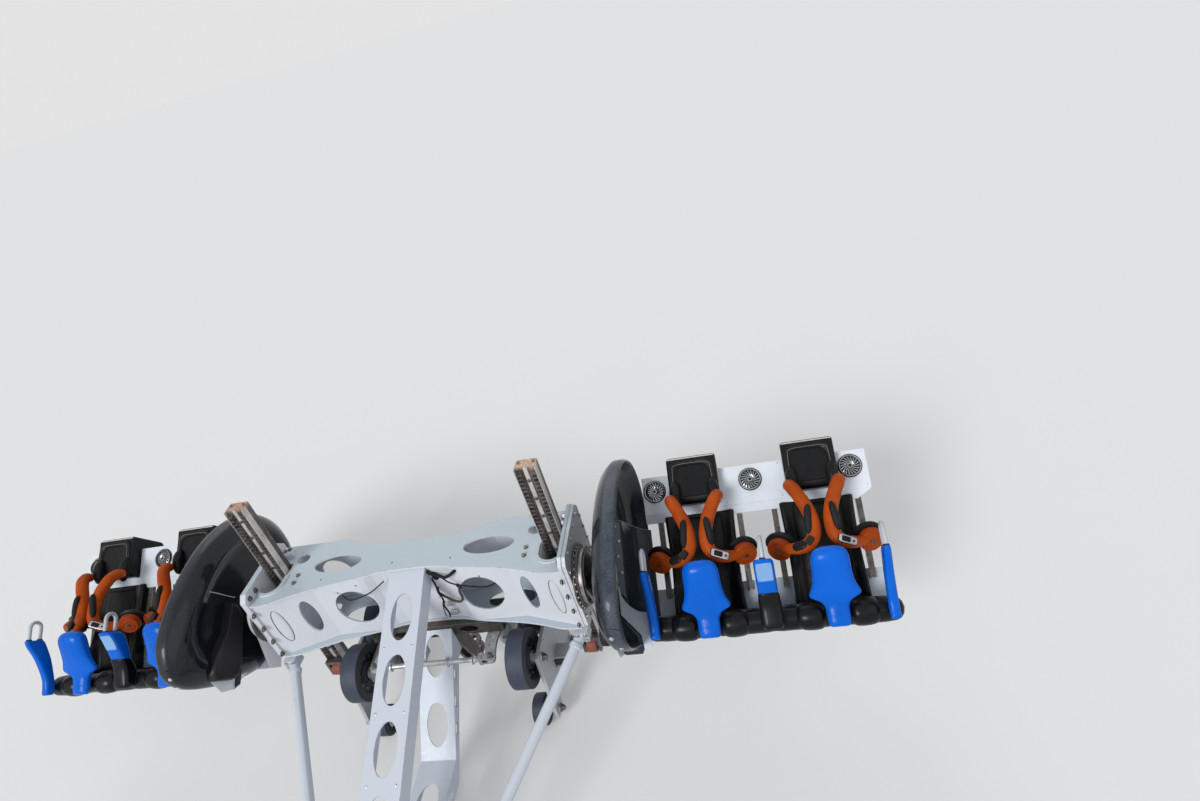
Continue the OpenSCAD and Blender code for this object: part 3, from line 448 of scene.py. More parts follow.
def dress_frame():
    """Gives every CAD node its finish and eased edges."""
    for part in frame["record"]["subparts"]:
        obj = frame["nodes"][part["node"]]
        obj.data.materials.clear()
        obj.data.materials.append(FINISH[part["material_slot"]])
        weld = obj.modifiers.new("weld", "WELD")
        weld.merge_threshold = 0.00002
        ease = obj.modifiers.new("ease", "BEVEL")
        ease.width, ease.segments, ease.limit_method = 0.0025, 2, "ANGLE"
        ease.angle_limit = math.radians(38)


# Stage, lights and camera
FLOOR_HALF = 150
ROOM_LEVEL = 0.40
FLOOR_TONE = 0.78
KEY_LEVEL = 1.75
FILL_LEVEL = 0.35
RIM_LEVEL = 0.40
FLOOR_GLOW = 0.12

# The photograph's camera: its place from the beam's upper front edge, its axes and its lens in mm
CAMERA_AT = Vector((2.417, BEAM_FRONT - 2.986, BEAM_TOP + 2.959))
CAMERA_RIGHT = Vector((0.96422, 0.08969, -0.24947))
CAMERA_DOWN = Vector((-0.15990, -0.55381, -0.81715))
CAMERA_AHEAD = Vector((-0.21145, 0.82780, -0.51965))
CAMERA_LENS, CAMERA_SENSOR = 21.44, 36.0


def make_stage():
    verts = [(x * FLOOR_HALF, y * FLOOR_HALF, 0) for x, y in ((-1, -1), (1, -1), (1, 1), (-1, 1))]
    mesh = bpy.data.meshes.new("floor")
    mesh.from_pydata(verts, [], [(0, 1, 2, 3)])
    mesh.materials.append(floor_grey("floor_grey"))
    floor = bpy.data.objects.new("floor", mesh)
    bpy.context.scene.collection.objects.link(floor)


def add_sun(name, at, energy, width):
    """A sun of a width in degrees, aimed at the car; gives its share of the light on the floor."""
    lamp = bpy.data.lights.new(name, "SUN")
    lamp.energy, lamp.angle = energy, math.radians(width)
    holder = bpy.data.objects.new(name, lamp)
    bpy.context.scene.collection.objects.link(holder)
    holder.location = at
    way = Vector((0, 0, 1)) - Vector(at)
    holder.rotation_euler = way.to_track_quat("-Z", "Y").to_euler()
    return -way.normalized().z * energy / math.pi


def make_lights():
    """A soft room and three suns; the far view is as pale as the lit floor."""
    lit = (add_sun("key", (-3.5, -7.5, 6.0), KEY_LEVEL, 22) + add_sun("fill", (6.5, -4.0, 6.5), FILL_LEVEL, 60)
           + add_sun("rim", (-2.5, 7.0, 7.0), RIM_LEVEL, 40))
    floor_level = FLOOR_TONE * (lit + ROOM_LEVEL) + FLOOR_GLOW
    world = bpy.data.worlds.new("room")
    bpy.context.scene.world = world
    world.use_nodes = True
    tree = world.node_tree
    room = tree.nodes["Background"]
    room.inputs["Color"].default_value = (0.95, 0.97, 1.0, 1)
    room.inputs["Strength"].default_value = ROOM_LEVEL
    path = node(tree, "LightPath")
    seen = calc(tree, "MAXIMUM", path.outputs["Is Camera Ray"], path.outputs["Is Glossy Ray"])
    seen = calc(tree, "MAXIMUM", seen, path.outputs["Is Transmission Ray"])
    pale = node(tree, "Background", {"Color": (1, 1, 1, 1), "Strength": floor_level})
    mix = node(tree, "MixShader", {0: seen, 1: room.outputs[0], 2: pale.outputs[0]})
    tree.links.new(mix.outputs[0], tree.nodes["World Output"].inputs["Surface"])


def make_camera():
    """The photograph's viewpoint, high in front of the car and to its right."""
    turn = Matrix((CAMERA_RIGHT, -CAMERA_DOWN, -CAMERA_AHEAD)).transposed().to_4x4()
    lens = bpy.data.cameras.new("camera")
    lens.lens, lens.sensor_width, lens.clip_end = CAMERA_LENS, CAMERA_SENSOR, 1000
    holder = bpy.data.objects.new("camera", lens)
    bpy.context.scene.collection.objects.link(holder)
    holder.matrix_world = Matrix.Translation(CAMERA_AT) @ turn
    bpy.context.scene.camera = holder


make_stage()
make_lights()
make_camera()
dress_frame()


# Finishes that only the added pieces use
RUBBER_BLACK = gloss("rubber_black", (0.012, 0.012, 0.013), 0.5, (0.10, 0.10, 0.10), 0.7, 0.0)
BLACK_VINYL = vinyl("black_vinyl", (0.011, 0.011, 0.012), (0.017, 0.017, 0.018), 0.3)
# Cream for the real piping and cable ties, and for the line that paints a highlight on each leg shield
CREAM_PIPING_AND_HIGHLIGHT = gloss("cream_piping_and_highlight", (0.62, 0.62, 0.56), 0.35, (0.30, 0.28, 0.24), 0.66, 0.1)
# Grey for the thin lines that paint the highlight along the top of each head hollow
GREY_HIGHLIGHT_LINE = gloss("grey_painted_highlight", (0.16, 0.16, 0.15), 0.4, (0.25, 0.25, 0.24), 0.66)
# The harness's orange vinyl made a little darker for the hubs, partly as painted shade
HUB_VINYL_WITH_SHADE = vinyl("hub_vinyl_painted_shade", (0.40, 0.060, 0.006), (0.28, 0.040, 0.005), 0.34)
HANDLE_GREY = gloss("handle_grey", (0.50, 0.53, 0.57), 0.3, (0.30, 0.31, 0.33), 0.66, level=0.4)
SEAM_ORANGE = vinyl("seam_orange", (0.42, 0.085, 0.010), (0.34, 0.065, 0.008), 0.45)
GUARD_FINISH = gloss("guard_smoke", (0.028, 0.036, 0.046), 0.12, (0.20, 0.22, 0.25), 0.66)
GUARD_EDGE = gloss("guard_edge", (0.17, 0.20, 0.235), 0.3, (0.36, 0.38, 0.40), 0.6)
BROWN_HOSE = gloss("brown_hose", (0.085, 0.060, 0.045), 0.5, (0.10, 0.06, 0.04), 0.6, 0.0)
LATCH_METAL = mirror_metal("latch_metal", (0.40, 0.41, 0.43), 0.24)
BOX_PLASTIC = gloss("box_plastic", (0.020, 0.018, 0.020), 0.3, (0.10, 0.09, 0.09), 0.62)
BLADE_METAL = mirror_metal("blade_metal", (0.34, 0.35, 0.38), 0.2)
GREASY_HUB = oiled("greasy_hub", (0.10, 0.09, 0.09), (0.42, 0.40, 0.40), (0.24, 0.13, 0.09), 0.34, 0.8, 0.62)
# Pale blue for the sheet that paints a reflection on each middle post's front
POST_FACE_REFLECTION = gloss("post_painted_reflection", (0.22, 0.42, 0.74), 0.4, (0.15, 0.26, 0.46), 0.6, 0.0)
WIPED_STEEL = oiled("wiped_steel", (0.52, 0.49, 0.47), (0.76, 0.73, 0.70), (0.34, 0.17, 0.09), 0.36, 0.35, 0.68)


def scuffed_shield(name, wear):
    """Black moulding with a grey band rubbed by hands and shoes along its rim."""
    made, tree, bsdf, coords = shader(name, 0.2, Coat_Weight=0.25, Coat_Roughness=0.10, Specular_IOR_Level=0.25)
    rim = ranged(tree, calc(tree, "ABSOLUTE", normal_of(tree, "X")), 0.62, 0.18)
    cloud = noise(tree, coords, 5.0, 6, 0.7)
    rub = noise(tree, coords, 26, 7, 0.75)
    fine = noise(tree, coords, 95, 6, 0.7)
    rubbed = calc(tree, "ADD", cloud, times(tree, rub, 0.5))
    worn = times(tree, rim, ranged(tree, rubbed, 0.48, 0.80))
    colour = blended(tree, ranged(tree, rub, 0.35, 0.7), (0.004, 0.006, 0.010), (0.010, 0.013, 0.019))
    grey = blended(tree, ranged(tree, fine, 0.35, 0.65), (0.030, 0.045, 0.066), (0.085, 0.112, 0.145))
    colour = blended(tree, times(tree, worn, wear), colour, grey)
    edge = times(tree, worn_edge(tree, 0.008), ranged(tree, fine, 0.4, 0.6))
    colour = blended(tree, times(tree, edge, 0.3), colour, (0.20, 0.23, 0.26))
    coloured(tree, bsdf, colour, ranged(tree, worn, 0.0, 1.0, 0.16, 0.52))
    bumped(tree, bsdf, rub, 0.10, 0.001)
    return made


SHIELD_FINISH = {"left": scuffed_shield("shield_rubbed", 0.12), "right": scuffed_shield("shield_scuffed", 0.85)}


def bolt_shape(r, round_head=False):
    """A washer with a hexagon or domed head, standing on Z = 0; r is the head's radius."""
    washer = [(0.001, 0), (1.35 * r, 0), (1.35 * r, 0.16 * r), (1.2 * r, 0.24 * r), (0.001, 0.24 * r)]
    if round_head:
        head = lathe([(0.001, 0.2 * r), (r, 0.2 * r), (0.96 * r, 0.5 * r), (0.75 * r, 0.78 * r),
                      (0.4 * r, 0.93 * r), (0.001, 0.96 * r)], 20)
    else:
        head = lathe([(0.001, 0.2 * r), (r, 0.2 * r), (r, 0.86 * r), (0.9 * r, 0.98 * r), (0.001, 0.98 * r)], 6)
    return joined([lathe(washer, 20), head])


def bolt(r, at, way, round_head=False):
    return moved(bolt_shape(r, round_head), towards(at, way))


def thickened(made, thickness, offset=0):
    solid = made.modifiers.new("solid", "SOLIDIFY")
    solid.thickness, solid.offset = thickness, offset


# Wings
def wing_piece(name, side, shape, slot, finish=None, **how):
    """A piece of one wing, its shape given in the wing's own frame."""
    place = wing_place(SIDES[side])
    return piece(f"{name}_{side}", shape, f"wing_{side}", finish or FINISH[slot], slot, place, **how)


def seats():
    return [SEAT_X, SEAT_X + SEAT_PITCH]


def post_shape(rows, x, power):
    """An upright moulded form from rows of (height, width, depth, distance forward)."""
    return loft([[(x + px, py - ahead, z) for px, py in oval(width / 2, depth / 2, 40, power)]
                 for z, width, depth, ahead in curve_through(rows, 5)])


HORN_ROWS = [(-0.472, 0.092, 0.036, 0.100), (-0.462, 0.118, 0.056, 0.109), (-0.430, 0.130, 0.066, 0.112),
             (-0.400, 0.132, 0.068, 0.1125), (-0.370, 0.134, 0.070, 0.115), (-0.352, 0.142, 0.072, 0.118),
             (-0.338, 0.160, 0.074, 0.121), (-0.327, 0.186, 0.075, 0.124), (-0.317, 0.224, 0.076, 0.127),
             (-0.307, 0.264, 0.077, 0.130), (-0.297, 0.286, 0.079, 0.133), (-0.284, 0.290, 0.082, 0.138),
             (-0.264, 0.272, 0.088, 0.147), (-0.236, 0.246, 0.096, 0.160), (-0.200, 0.228, 0.104, 0.177),
             (-0.150, 0.220, 0.114, 0.198), (-0.105, 0.218, 0.118, 0.217), (-0.074, 0.208, 0.113, 0.226),
             (-0.050, 0.184, 0.096, 0.231), (-0.034, 0.142, 0.066, 0.234), (-0.025, 0.076, 0.034, 0.235)]
BLADE_ROWS = [(-0.455, 0.047, 0.056, 0.108), (-0.440, 0.057, 0.065, 0.112), (-0.400, 0.059, 0.069, 0.1115),
              (-0.330, 0.057, 0.073, 0.126), (-0.200, 0.053, 0.107, 0.180), (-0.110, 0.049, 0.137, 0.236),
              (-0.072, 0.046, 0.134, 0.258), (-0.061, 0.036, 0.116, 0.262)]
BLOCK_ROWS = [(-0.249, 0.108, 0.084, 0.151), (-0.240, 0.116, 0.090, 0.154), (-0.140, 0.117, 0.121, 0.206),
              (-0.090, 0.117, 0.133, 0.238), (-0.072, 0.112, 0.128, 0.256), (-0.061, 0.094, 0.112, 0.262)]
POST_FOOT_ROWS = [(-0.452, 0.096, 0.084, 0.094), (-0.430, 0.128, 0.100, 0.096), (-0.330, 0.130, 0.110, 0.110),
                  (-0.262, 0.122, 0.096, 0.146), (-0.250, 0.110, 0.086, 0.151)]
HANDLE_Y, HANDLE_Z = -0.262, -0.061
POST_X = [SEAT_X - 0.330, SEAT_X + SEAT_PITCH / 2, SEAT_X + SEAT_PITCH + 0.306]


def make_horns(side):
    horns = joined([post_shape(HORN_ROWS, x, 0.8) for x in seats()])
    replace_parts(wing_piece("seat_horns", side, horns, "blue_plastic"), f"horns_{side}")
    posts = joined([post_shape(BLADE_ROWS, POST_X[0], 0.6), post_shape(BLOCK_ROWS, POST_X[1], 0.5),
                    post_shape(BLADE_ROWS, POST_X[2], 0.6)])
    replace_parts(wing_piece("blue_posts", side, posts, "blue_plastic"), f"side_posts_{side}")
    collar = lathe([(0.0128, 0), (0.0185, 0), (0.0185, 0.004), (0.0155, 0.008), (0.0128, 0.008)], 24)
    collars = joined([shifted(collar, x, HANDLE_Y + y, HANDLE_Z) for x in POST_X for y in (-0.040, 0.040)])
    wing_piece("handle_collars", side, collars, "dark_steel", RUBBER_BLACK)
    make_post_reflection(side)


def make_post_reflection(side):
    """A thin pale blue sheet laid on the middle post's front: a painted reflection."""
    rows = curve_through(BLOCK_ROWS, 5)
    sheet = []
    for k in range(15):
        z = -0.185 + 0.100 * k / 14
        width, depth, ahead = (along_rows([(row[0], row[i]) for row in rows], z) for i in (1, 2, 3))
        narrow = 1 - 0.12 * abs(2 * k / 14 - 1) ** 4
        front = sorted(p for p in oval(width / 2, depth / 2, 400, 0.5)
                       if p[1] < 0 and abs(p[0]) < 0.41 * width * narrow)
        sheet.append([(POST_X[1] + px, py - ahead - 0.0008, z)
                      for px, py in (front[round(i * (len(front) - 1) / 12)] for i in range(13))])
    thickened(wing_piece("post_painted_reflection", side, grid(sheet), "blue_plastic", POST_FACE_REFLECTION, sharp=180), 0.0012)


def seat_back_shape(x0):
    """A moulded seat back: flat in the middle, with bolsters that stand forward at its sides."""
    front, rows = [], 18
    for j in range(rows + 1):
        z = -0.418 + (0.296 + 0.418) * j / rows
        low = min(1.0, max(0.0, (-0.02 - z) / 0.20))
        wing = 0.030 + 0.052 * low
        half = 0.226 - 0.010 * math.sin(math.pi * j / rows)
        line = []
        for i in range(25):
            u = -1 + 2 * i / 24
            side_lift = wing * max(0.0, (abs(u) - 0.62) / 0.38) ** 1.4
            round_off = 0.020 * max(0.0, (abs(u) - 0.9) / 0.1) ** 2
            lumbar = 0.012 * math.exp(-((z + 0.16) / 0.12) ** 2) * (1 - u * u)
            line.append((x0 + half * u, 0.150 - side_lift - lumbar + round_off, z))
        back = [(x, SHELL_REAR, z) for x, _, z in reversed(line)]
        front.append(line + back)
    return loft(front)


LIP_R, LIP_SIDES = 0.0745, 28
PAN_Z, PAN_FLOOR_Z = -0.400, -0.450
SHELL_REAR = 0.1985


def pan_lip_shape(x0, x1, gaps):
    """The padded front edge of the pan, drawn in round the horns and posts."""
    rings = []
    count = 150
    for i in range(count + 1):
        x = x0 - LIP_R + (x1 - x0 + 2 * LIP_R) * i / count
        end = max(x0 - x, x - x1, 0.0)
        dip = sum(depth * math.exp(-((x - at) / width) ** 2) for at, width, depth in gaps)
        r = max(math.sqrt(max(LIP_R ** 2 - end ** 2, 1e-6)) - dip, 0.003)
        rings.append([(x, y, PAN_Z + z) for y, z, _ in circle(r, 0, LIP_SIDES)])
    return loft(rings)


THIGH_LOBE = [(0.020, 0.0635), (0.045, 0.0655), (0.060, 0.073), (0.072, 0.084), (0.080, 0.100), (0.0832, 0.120),
              (0.0832, 0.160), (0.080, 0.190), (0.072, 0.215), (0.056, 0.232), (0.030, 0.2375)]


def thigh_pads_shape():
    """The round padded ends of the pan's edge, one on each side of a horn."""
    profile = [(p.x, p.y) for p in curve_through([(r, at, 0) for r, at in THIGH_LOBE], 4)]
    places = [towards((x, -0.018, PAN_Z), (s, 0, 0)) for x in seats() for s in (-1, 1)]
    welt = tube(circle(0.0836, 0.142, 44, 45), 0.0013, 8)
    return joined([moved(lathe(profile, 44), at) for at in places]), joined([moved(welt, at) for at in places])


def make_seats(side):
    x0, x1 = SEAT_X - 0.330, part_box("seat_shells_right")[1].x - 0.075
    gaps = [(x, 0.060, 0.006) for x in seats()] + [(x, 0.030, 0.004) for x in POST_X]
    lip = pan_lip_shape(x0, x1, gaps)
    floor = [shifted(slab([(x0, y0), (x1, y0), (x1, y1), (x0, y1)], thick), 0, 0, PAN_FLOOR_Z)
             for y0, y1, thick in ((-0.02, 0.150, 0.034), (0.140, SHELL_REAR, 0.029))]
    base = post_shape(POST_FOOT_ROWS, POST_X[1], 0.55)
    wing_piece("seat_pan", side, joined([lip, base]), "seat_plastic")
    shells = joined([seat_back_shape(x) for x in seats()])
    shell = wing_piece("seat_backs", side, shells, "seat_plastic", bevel=0.008, sharp=50)
    wing_piece("pan_floor", side, joined(floor), "seat_plastic", bevel=0.006)
    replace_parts(shell, f"seat_shells_{side}")
    lobes, welts = thigh_pads_shape()
    pads = wing_piece("thigh_pads", side, lobes, "seat_plastic", sharp=60)
    wing_piece("thigh_welts", side, welts, "seat_plastic", RUBBER_BLACK)
    for i, x in enumerate(seats()):
        make_pad(f"back_pad_{i + 1}", side, back_pad_rows(x), 1)
        make_pad(f"seat_pad_{i + 1}", side, cushion_rows(x), -1)


def back_pad_rows(x0):
    """A flat upholstered pad with two sewn channels, crowned between its seams."""
    nx, nz, rows = 22, 34, []
    for j in range(nz + 1):
        v = j / nz
        seam = 1 - 0.45 * sum(math.exp(-((v - s) / 0.012) ** 2) for s in (0.34, 0.66))
        row = []
        for i in range(nx + 1):
            u = i / nx
            edge = min(1.0, 6 * min(u, 1 - u)) ** 0.5 * min(1.0, 9 * min(v, 1 - v)) ** 0.5
            pull = 0.012 * (1 - edge) * (0.5 - u)
            crown = 0.75 + 0.25 * math.sin(math.pi * u)
            row.append((x0 - 0.150 + 0.300 * u + pull, 0.152 - 0.026 * edge * seam * crown, -0.34 + 0.61 * v))
        rows.append(row)
    return rows


def cushion_rows(x0):
    """The seat cushion between the pan's edge and the seat back, dished for the rider."""
    rows = []
    for j in range(19):
        v = j / 18
        row = []
        for i in range(25):
            u = -1 + i / 12
            edge = min(1.0, 5 * (1 - abs(u))) ** 0.5 * min(1.0, 6 * min(v + 0.08, 1.02 - v)) ** 0.5
            dish = 0.016 * abs(u) ** 2.5
            row.append((x0 + 0.205 * u, 0.036 + 0.122 * v, -0.412 + (0.042 + dish) * max(edge, 0.0)))
        rows.append(row)
    return rows


def make_pad(name, side, rows, outwards):
    pad = wing_piece(name, side, grid(rows), "seat_plastic", BLACK_VINYL, sharp=180)
    thickened(pad, 0.006, outwards * SIDES[side])


HEAD_W = 0.163
HEAD_PROFILE = [(0.060, 0.372), (0.060, 0.654), (0.076, 0.669), (0.360, 0.643), (0.396, 0.612),
                (0.396, 0.562), (0.250, 0.368), (0.200, 0.354), (0.090, 0.354)]
# Rings of the head's hollow: half width, lower and upper edge, Y, roundness
HEAD_FRONT = [(0.150, 0.380, 0.648, 0.0605, 0.35), (0.148, 0.382, 0.646, 0.050, 0.35),
              (0.122, 0.398, 0.612, 0.047, 0.4), (0.112, 0.406, 0.602, 0.060, 0.45),
              (0.088, 0.424, 0.580, 0.125, 0.6), (0.050, 0.450, 0.550, 0.138, 0.8),
              (0.010, 0.490, 0.510, 0.140, 1.0)]


def headrest_shape(x0):
    """A deep pod, narrower towards its back, its side faces drawn in a little."""
    cy, cz = (sum(p[i] for p in HEAD_PROFILE) / len(HEAD_PROFILE) for i in (0, 1))
    rings = []
    for t in (-1.0, -0.93, 0.0, 0.93, 1.0):
        inset = 0.048 if abs(t) == 1.0 else 0.0
        rings.append([(x0 + HEAD_W * t * (1 - 0.10 * max(0.0, (y - 0.10) / 0.30)),
                       y + (cy - y) * inset, z + (cz - z) * inset) for y, z in HEAD_PROFILE])
    return loft(rings)


def headrest_front(x0):
    """The framed front: an outer rim, a step down and the padded hollow behind the head."""
    rings = []
    for half, low, high, y, power in HEAD_FRONT:
        mid, tall = (low + high) / 2, (high - low) / 2
        rings.append([(x0 + px * (1 - 0.06 * (py / tall)), y, mid + py)
                      for px, py in oval(half, tall, 48, power)])
    return loft(rings, caps=False)


def make_headrests(side):
    pods = joined([headrest_shape(x) for x in seats()])
    pods = wing_piece("head_pods", side, pods, "seat_plastic", bevel=0.012, segments=3, sharp=25)
    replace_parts(pods, f"headrests_{side}")
    fronts = joined([headrest_front(x) for x in seats()])
    wing_piece("head_fronts", side, fronts, "seat_plastic", BLACK_VINYL, sharp=60)
    bolsters, piping, thin = [], [], []
    for x in seats():
        for s in (-1, 1):
            path = curve_through([(x + s * 0.100, 0.062, 0.338, 0.016), (x + s * 0.112, 0.050, 0.352, 0.030),
                                  (x + s * 0.122, 0.044, 0.392, 0.037), (x + s * 0.124, 0.042, 0.440, 0.037),
                                  (x + s * 0.120, 0.050, 0.484, 0.028), (x + s * 0.116, 0.060, 0.504, 0.008)], 5)
            bolsters.append(tube(path, n=26))
            # A thin grey line round the top of the head hollow: a painted highlight
            line = curve_through([(x + s * 0.128, 0.046, 0.40), (x + s * 0.125, 0.045, 0.57),
                                  (x + s * 0.106, 0.045, 0.612), (x, 0.045, 0.618)], 8)
            thin.append(tube(line, 0.0018, 8))
        top = [(x - 0.155, 0.063, 0.657), (x + 0.155, 0.063, 0.657)]
        piping.append(tube(curve_through(top, 6), 0.0045, 8))
    pads = wing_piece("head_bolsters", side, joined(bolsters), "seat_plastic", BLACK_VINYL)
    wing_piece("head_piping", side, joined(piping), "panel_plastic", CREAM_PIPING_AND_HIGHLIGHT)
    wing_piece("head_rim_highlights", side, joined(thin), "panel_plastic", GREY_HIGHLIGHT_LINE)


def make_panel(side):
    """The pale panel behind the headrests, bent back along its lower edge."""
    left, right = SEAT_X - 0.354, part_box("back_panel_right")[1].x - 0.024
    low, high, half = 0.322, 0.574, HEAD_W + 0.001
    outline = [(left, low), (left, high)]
    for x in seats():
        outline += [(x - half, high), (x - half, 0.353), (x + half, 0.353), (x + half, high)]
    outline += [(right, high), (right, low)]
    sheet = loft([[(x, y, z) for x, z in outline] for y in (0.1500, 0.1685)])
    lip = [(left, low), (right, low), (right - 0.092, 0.266), (left, 0.266)]
    bent = loft([[(x, y + (low - z) * 0.30, z) for x, z in lip] for y in (0.1506, 0.1560)])
    made = wing_piece("back_panel", side, joined([sheet, bent]), "panel_plastic", bevel=0.0015)
    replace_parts(made, f"back_panel_{side}")
    outer = SEAT_X + SEAT_PITCH
    screws = [bolt(0.0035, (x, 0.1500, z), (0, -1, 0), round_head=True)
              for x in (left + 0.020, SEAT_X + 0.195, outer - 0.195, outer + 0.190, right - 0.020)
              for z in (0.345, 0.556)]
    wing_piece("panel_screws", side, joined(screws), "bright_steel")


# Speakers: a chrome rim and curved blades over a dark cone
SPEAKER_RIM = [(0.058, 0.002), (0.0745, 0.002), (0.0745, 0.008), (0.069, 0.0145), (0.062, 0.0155),
               (0.058, 0.011), (0.058, 0.002)]
SPEAKER_RING = [(0.0665, 0.0120), (0.0690, 0.0150), (0.0650, 0.0168), (0.0615, 0.0150), (0.0665, 0.0120)]
SPEAKER_CAP = [(0.001, 0.0045), (0.019, 0.0045), (0.020, 0.010), (0.0165, 0.0150), (0.001, 0.0158)]
SPEAKER_CONE = [(0.001, 0.0005), (0.060, 0.0005), (0.060, 0.0050), (0.030, 0.0030), (0.001, 0.0030)]
SPEAKER_PIN = [(0.001, 0.0155), (0.010, 0.0155), (0.0085, 0.0175), (0.001, 0.0178)]
SPEAKER_BLADES = 18
SPEAKER_X = [SEAT_X - 0.272, SEAT_X + SEAT_PITCH / 2 - 0.010, SEAT_X + SEAT_PITCH + 0.246]


def speaker_blade(turn):
    """One thin blade of the grille, swept as it runs outwards."""
    inner, outer, half, deep = 0.021, 0.062, 0.0019, Vector((0, 0, 0.006))
    upper = []
    for k in range(5):
        t = k / 4
        r, a = inner + (outer - inner) * t, turn + 0.35 * t
        across = Vector((-math.sin(a), math.cos(a), 0)) * half * (1 + t)
        at = Vector((r * math.cos(a), r * math.sin(a), 0.0135 - 0.004 * abs(2 * t - 1) ** 2))
        upper += [at - across, at + across]
    faces = []
    for a in range(0, 8, 2):
        b = a + 10
        faces += [(a, a + 1, a + 3, a + 2), (b + 2, b + 3, b + 1, b),
                  (a + 2, b + 2, b, a), (a + 1, b + 1, b + 3, a + 3)]
    return upper + [p - deep for p in upper], faces + [(0, 10, 11, 1), (8, 9, 19, 18)]


def make_speakers(side):
    chrome, dark = [], []
    for x in SPEAKER_X:
        at = towards((x, 0.1498, 0.474), (0, -1, 0))
        dark.append(moved(lathe(SPEAKER_RIM, 56, caps=False), at))
        chrome.append(moved(lathe(SPEAKER_RING, 56, caps=False), at))
        chrome.append(moved(lathe(SPEAKER_CAP), at))
        chrome += [moved(speaker_blade(math.tau * i / SPEAKER_BLADES), at) for i in range(SPEAKER_BLADES)]
        dark += [moved(lathe(SPEAKER_CONE, 40), at), moved(lathe(SPEAKER_PIN, 24), at)]
    made = wing_piece("speaker_grilles", side, joined(chrome), "chrome_trim", BLADE_METAL, sharp=30)
    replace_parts(made, f"speakers_{side}")
    wing_piece("speaker_cones", side, joined(dark), "seat_plastic", RUBBER_BLACK)


# Leg shield: a deep egg-shaped dish that reaches forward of the knees, with a worn band round its edge.
# The edge is (Y, Z) points; the rows are (X, share of the edge's distance from the middle).
SHIELD_AT = (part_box("leg_shield_right")[0].x, -0.030, 0.110)
SHIELD_EDGE = [(-0.655, -0.150), (-0.645, -0.290), (-0.585, -0.410), (-0.450, -0.478), (-0.250, -0.492),
               (0.000, -0.470), (0.250, -0.395), (0.440, -0.240), (0.545, 0.000), (0.575, 0.240),
               (0.535, 0.460), (0.420, 0.605), (0.260, 0.690), (0.070, 0.708), (-0.110, 0.655),
               (-0.290, 0.525), (-0.440, 0.350), (-0.575, 0.110)]
SHIELD_ROWS = [(0.040, 0.02), (0.039, 0.30), (0.040, 0.55), (0.037, 0.635), (0.024, 0.685), (0.012, 0.730),
               (0.006, 0.780), (0.009, 0.830), (0.024, 0.890), (0.050, 0.945), (0.076, 0.985), (0.094, 1.0),
               (0.122, 1.002), (0.150, 1.0), (0.165, 0.994), (0.1725, 0.984), (0.170, 0.972), (0.160, 0.965),
               (0.112, 0.948), (0.078, 0.918), (0.048, 0.865), (0.032, 0.800), (0.028, 0.735), (0.040, 0.675),
               (0.051, 0.620), (0.052, 0.540), (0.052, 0.02)]


def shield_edge(u, x=0.0, share=1.0):
    """A point on the shield's outline; u counts along the points of SHIELD_EDGE."""
    base, mid_y, mid_z = SHIELD_AT
    near = [Vector(SHIELD_EDGE[(int(u) + k) % len(SHIELD_EDGE)]) for k in (-1, 0, 1, 2)]
    at = between(*near, u % 1)
    return Vector((base + x, mid_y + (at.x - mid_y) * share, mid_z + (at.y - mid_z) * share))


def make_shield(side):
    around = [k * len(SHIELD_EDGE) / 108 for k in range(108)]
    rings = [[shield_edge(u, x, share) for u in around] for x, share in SHIELD_ROWS]
    dish = wing_piece("shield_dish", side, loft(rings), "shield_plastic", SHIELD_FINISH[side], sharp=60)
    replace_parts(dish, f"leg_shield_{side}")
    crease = [shield_edge(u, x, 1.003) for u, x in ((1.55, 0.080), (1.50, 0.100), (1.52, 0.125), (1.60, 0.160))]
    wing_piece("shield_crease", side, tube(curve_through(crease, 4), 0.0016, 8), "shield_plastic", RUBBER_BLACK)
    rivets = [bolt(0.010, shield_edge(u, x, 1.001), shield_edge(u, x, 1.2) - shield_edge(u, x), round_head=True)
              for u, x in ((1.98, 0.100), (2.75, 0.128))]
    wing_piece("shield_rivets", side, joined(rivets), "bright_steel")
    # A thin cream line across the dish's inner face: a painted highlight along the crease at the top of its raised
    # middle
    line = [(SHIELD_AT[0] + 0.0375, y, z)
            for y, z in ((-0.385, 0.128), (-0.300, 0.116), (-0.200, 0.098), (-0.130, 0.088))]
    wing_piece("shield_highlight_line", side, tube(curve_through(line, 4), 0.0030, 8), "panel_plastic", CREAM_PIPING_AND_HIGHLIGHT)


def plate_of(outline, middle, rows):
    """A moulded plate: rows of (x, share) of one outline in the plane across X."""
    my, mz = middle
    return loft([[(SHIELD_AT[0] + x, my + (y - my) * k, mz + (z - mz) * k) for y, z in outline]
                 for x, k in rows])


def make_shield_foot(side):
    """The dark bracket in the dish, the box on its inner face and the pale tab under its rim."""
    mid_x, mid_z = 0.090, -0.440
    rings = [[(SHIELD_AT[0] + mid_x + (x - mid_x) * k, y, mid_z + (z - mid_z) * k) for x, z in BRACKET_EDGE]
             for y, k in BRACKET_ROWS]
    wing_piece("shield_bracket", side, loft(rings), "shield_plastic", GUARD_FINISH, bevel=0.002)
    box = plate_of(BOX_EDGE, (-0.220, -0.240), BOX_ROWS)
    wing_piece("shield_box", side, box, "shield_plastic", BOX_PLASTIC, sharp=50, bevel=0.002)
    tab = plate_of(TAB_EDGE, (0, 0), ((0.046, 1.0), (0.050, 1.0)))
    wing_piece("shield_tab", side, tab, "panel_plastic", bevel=0.001)


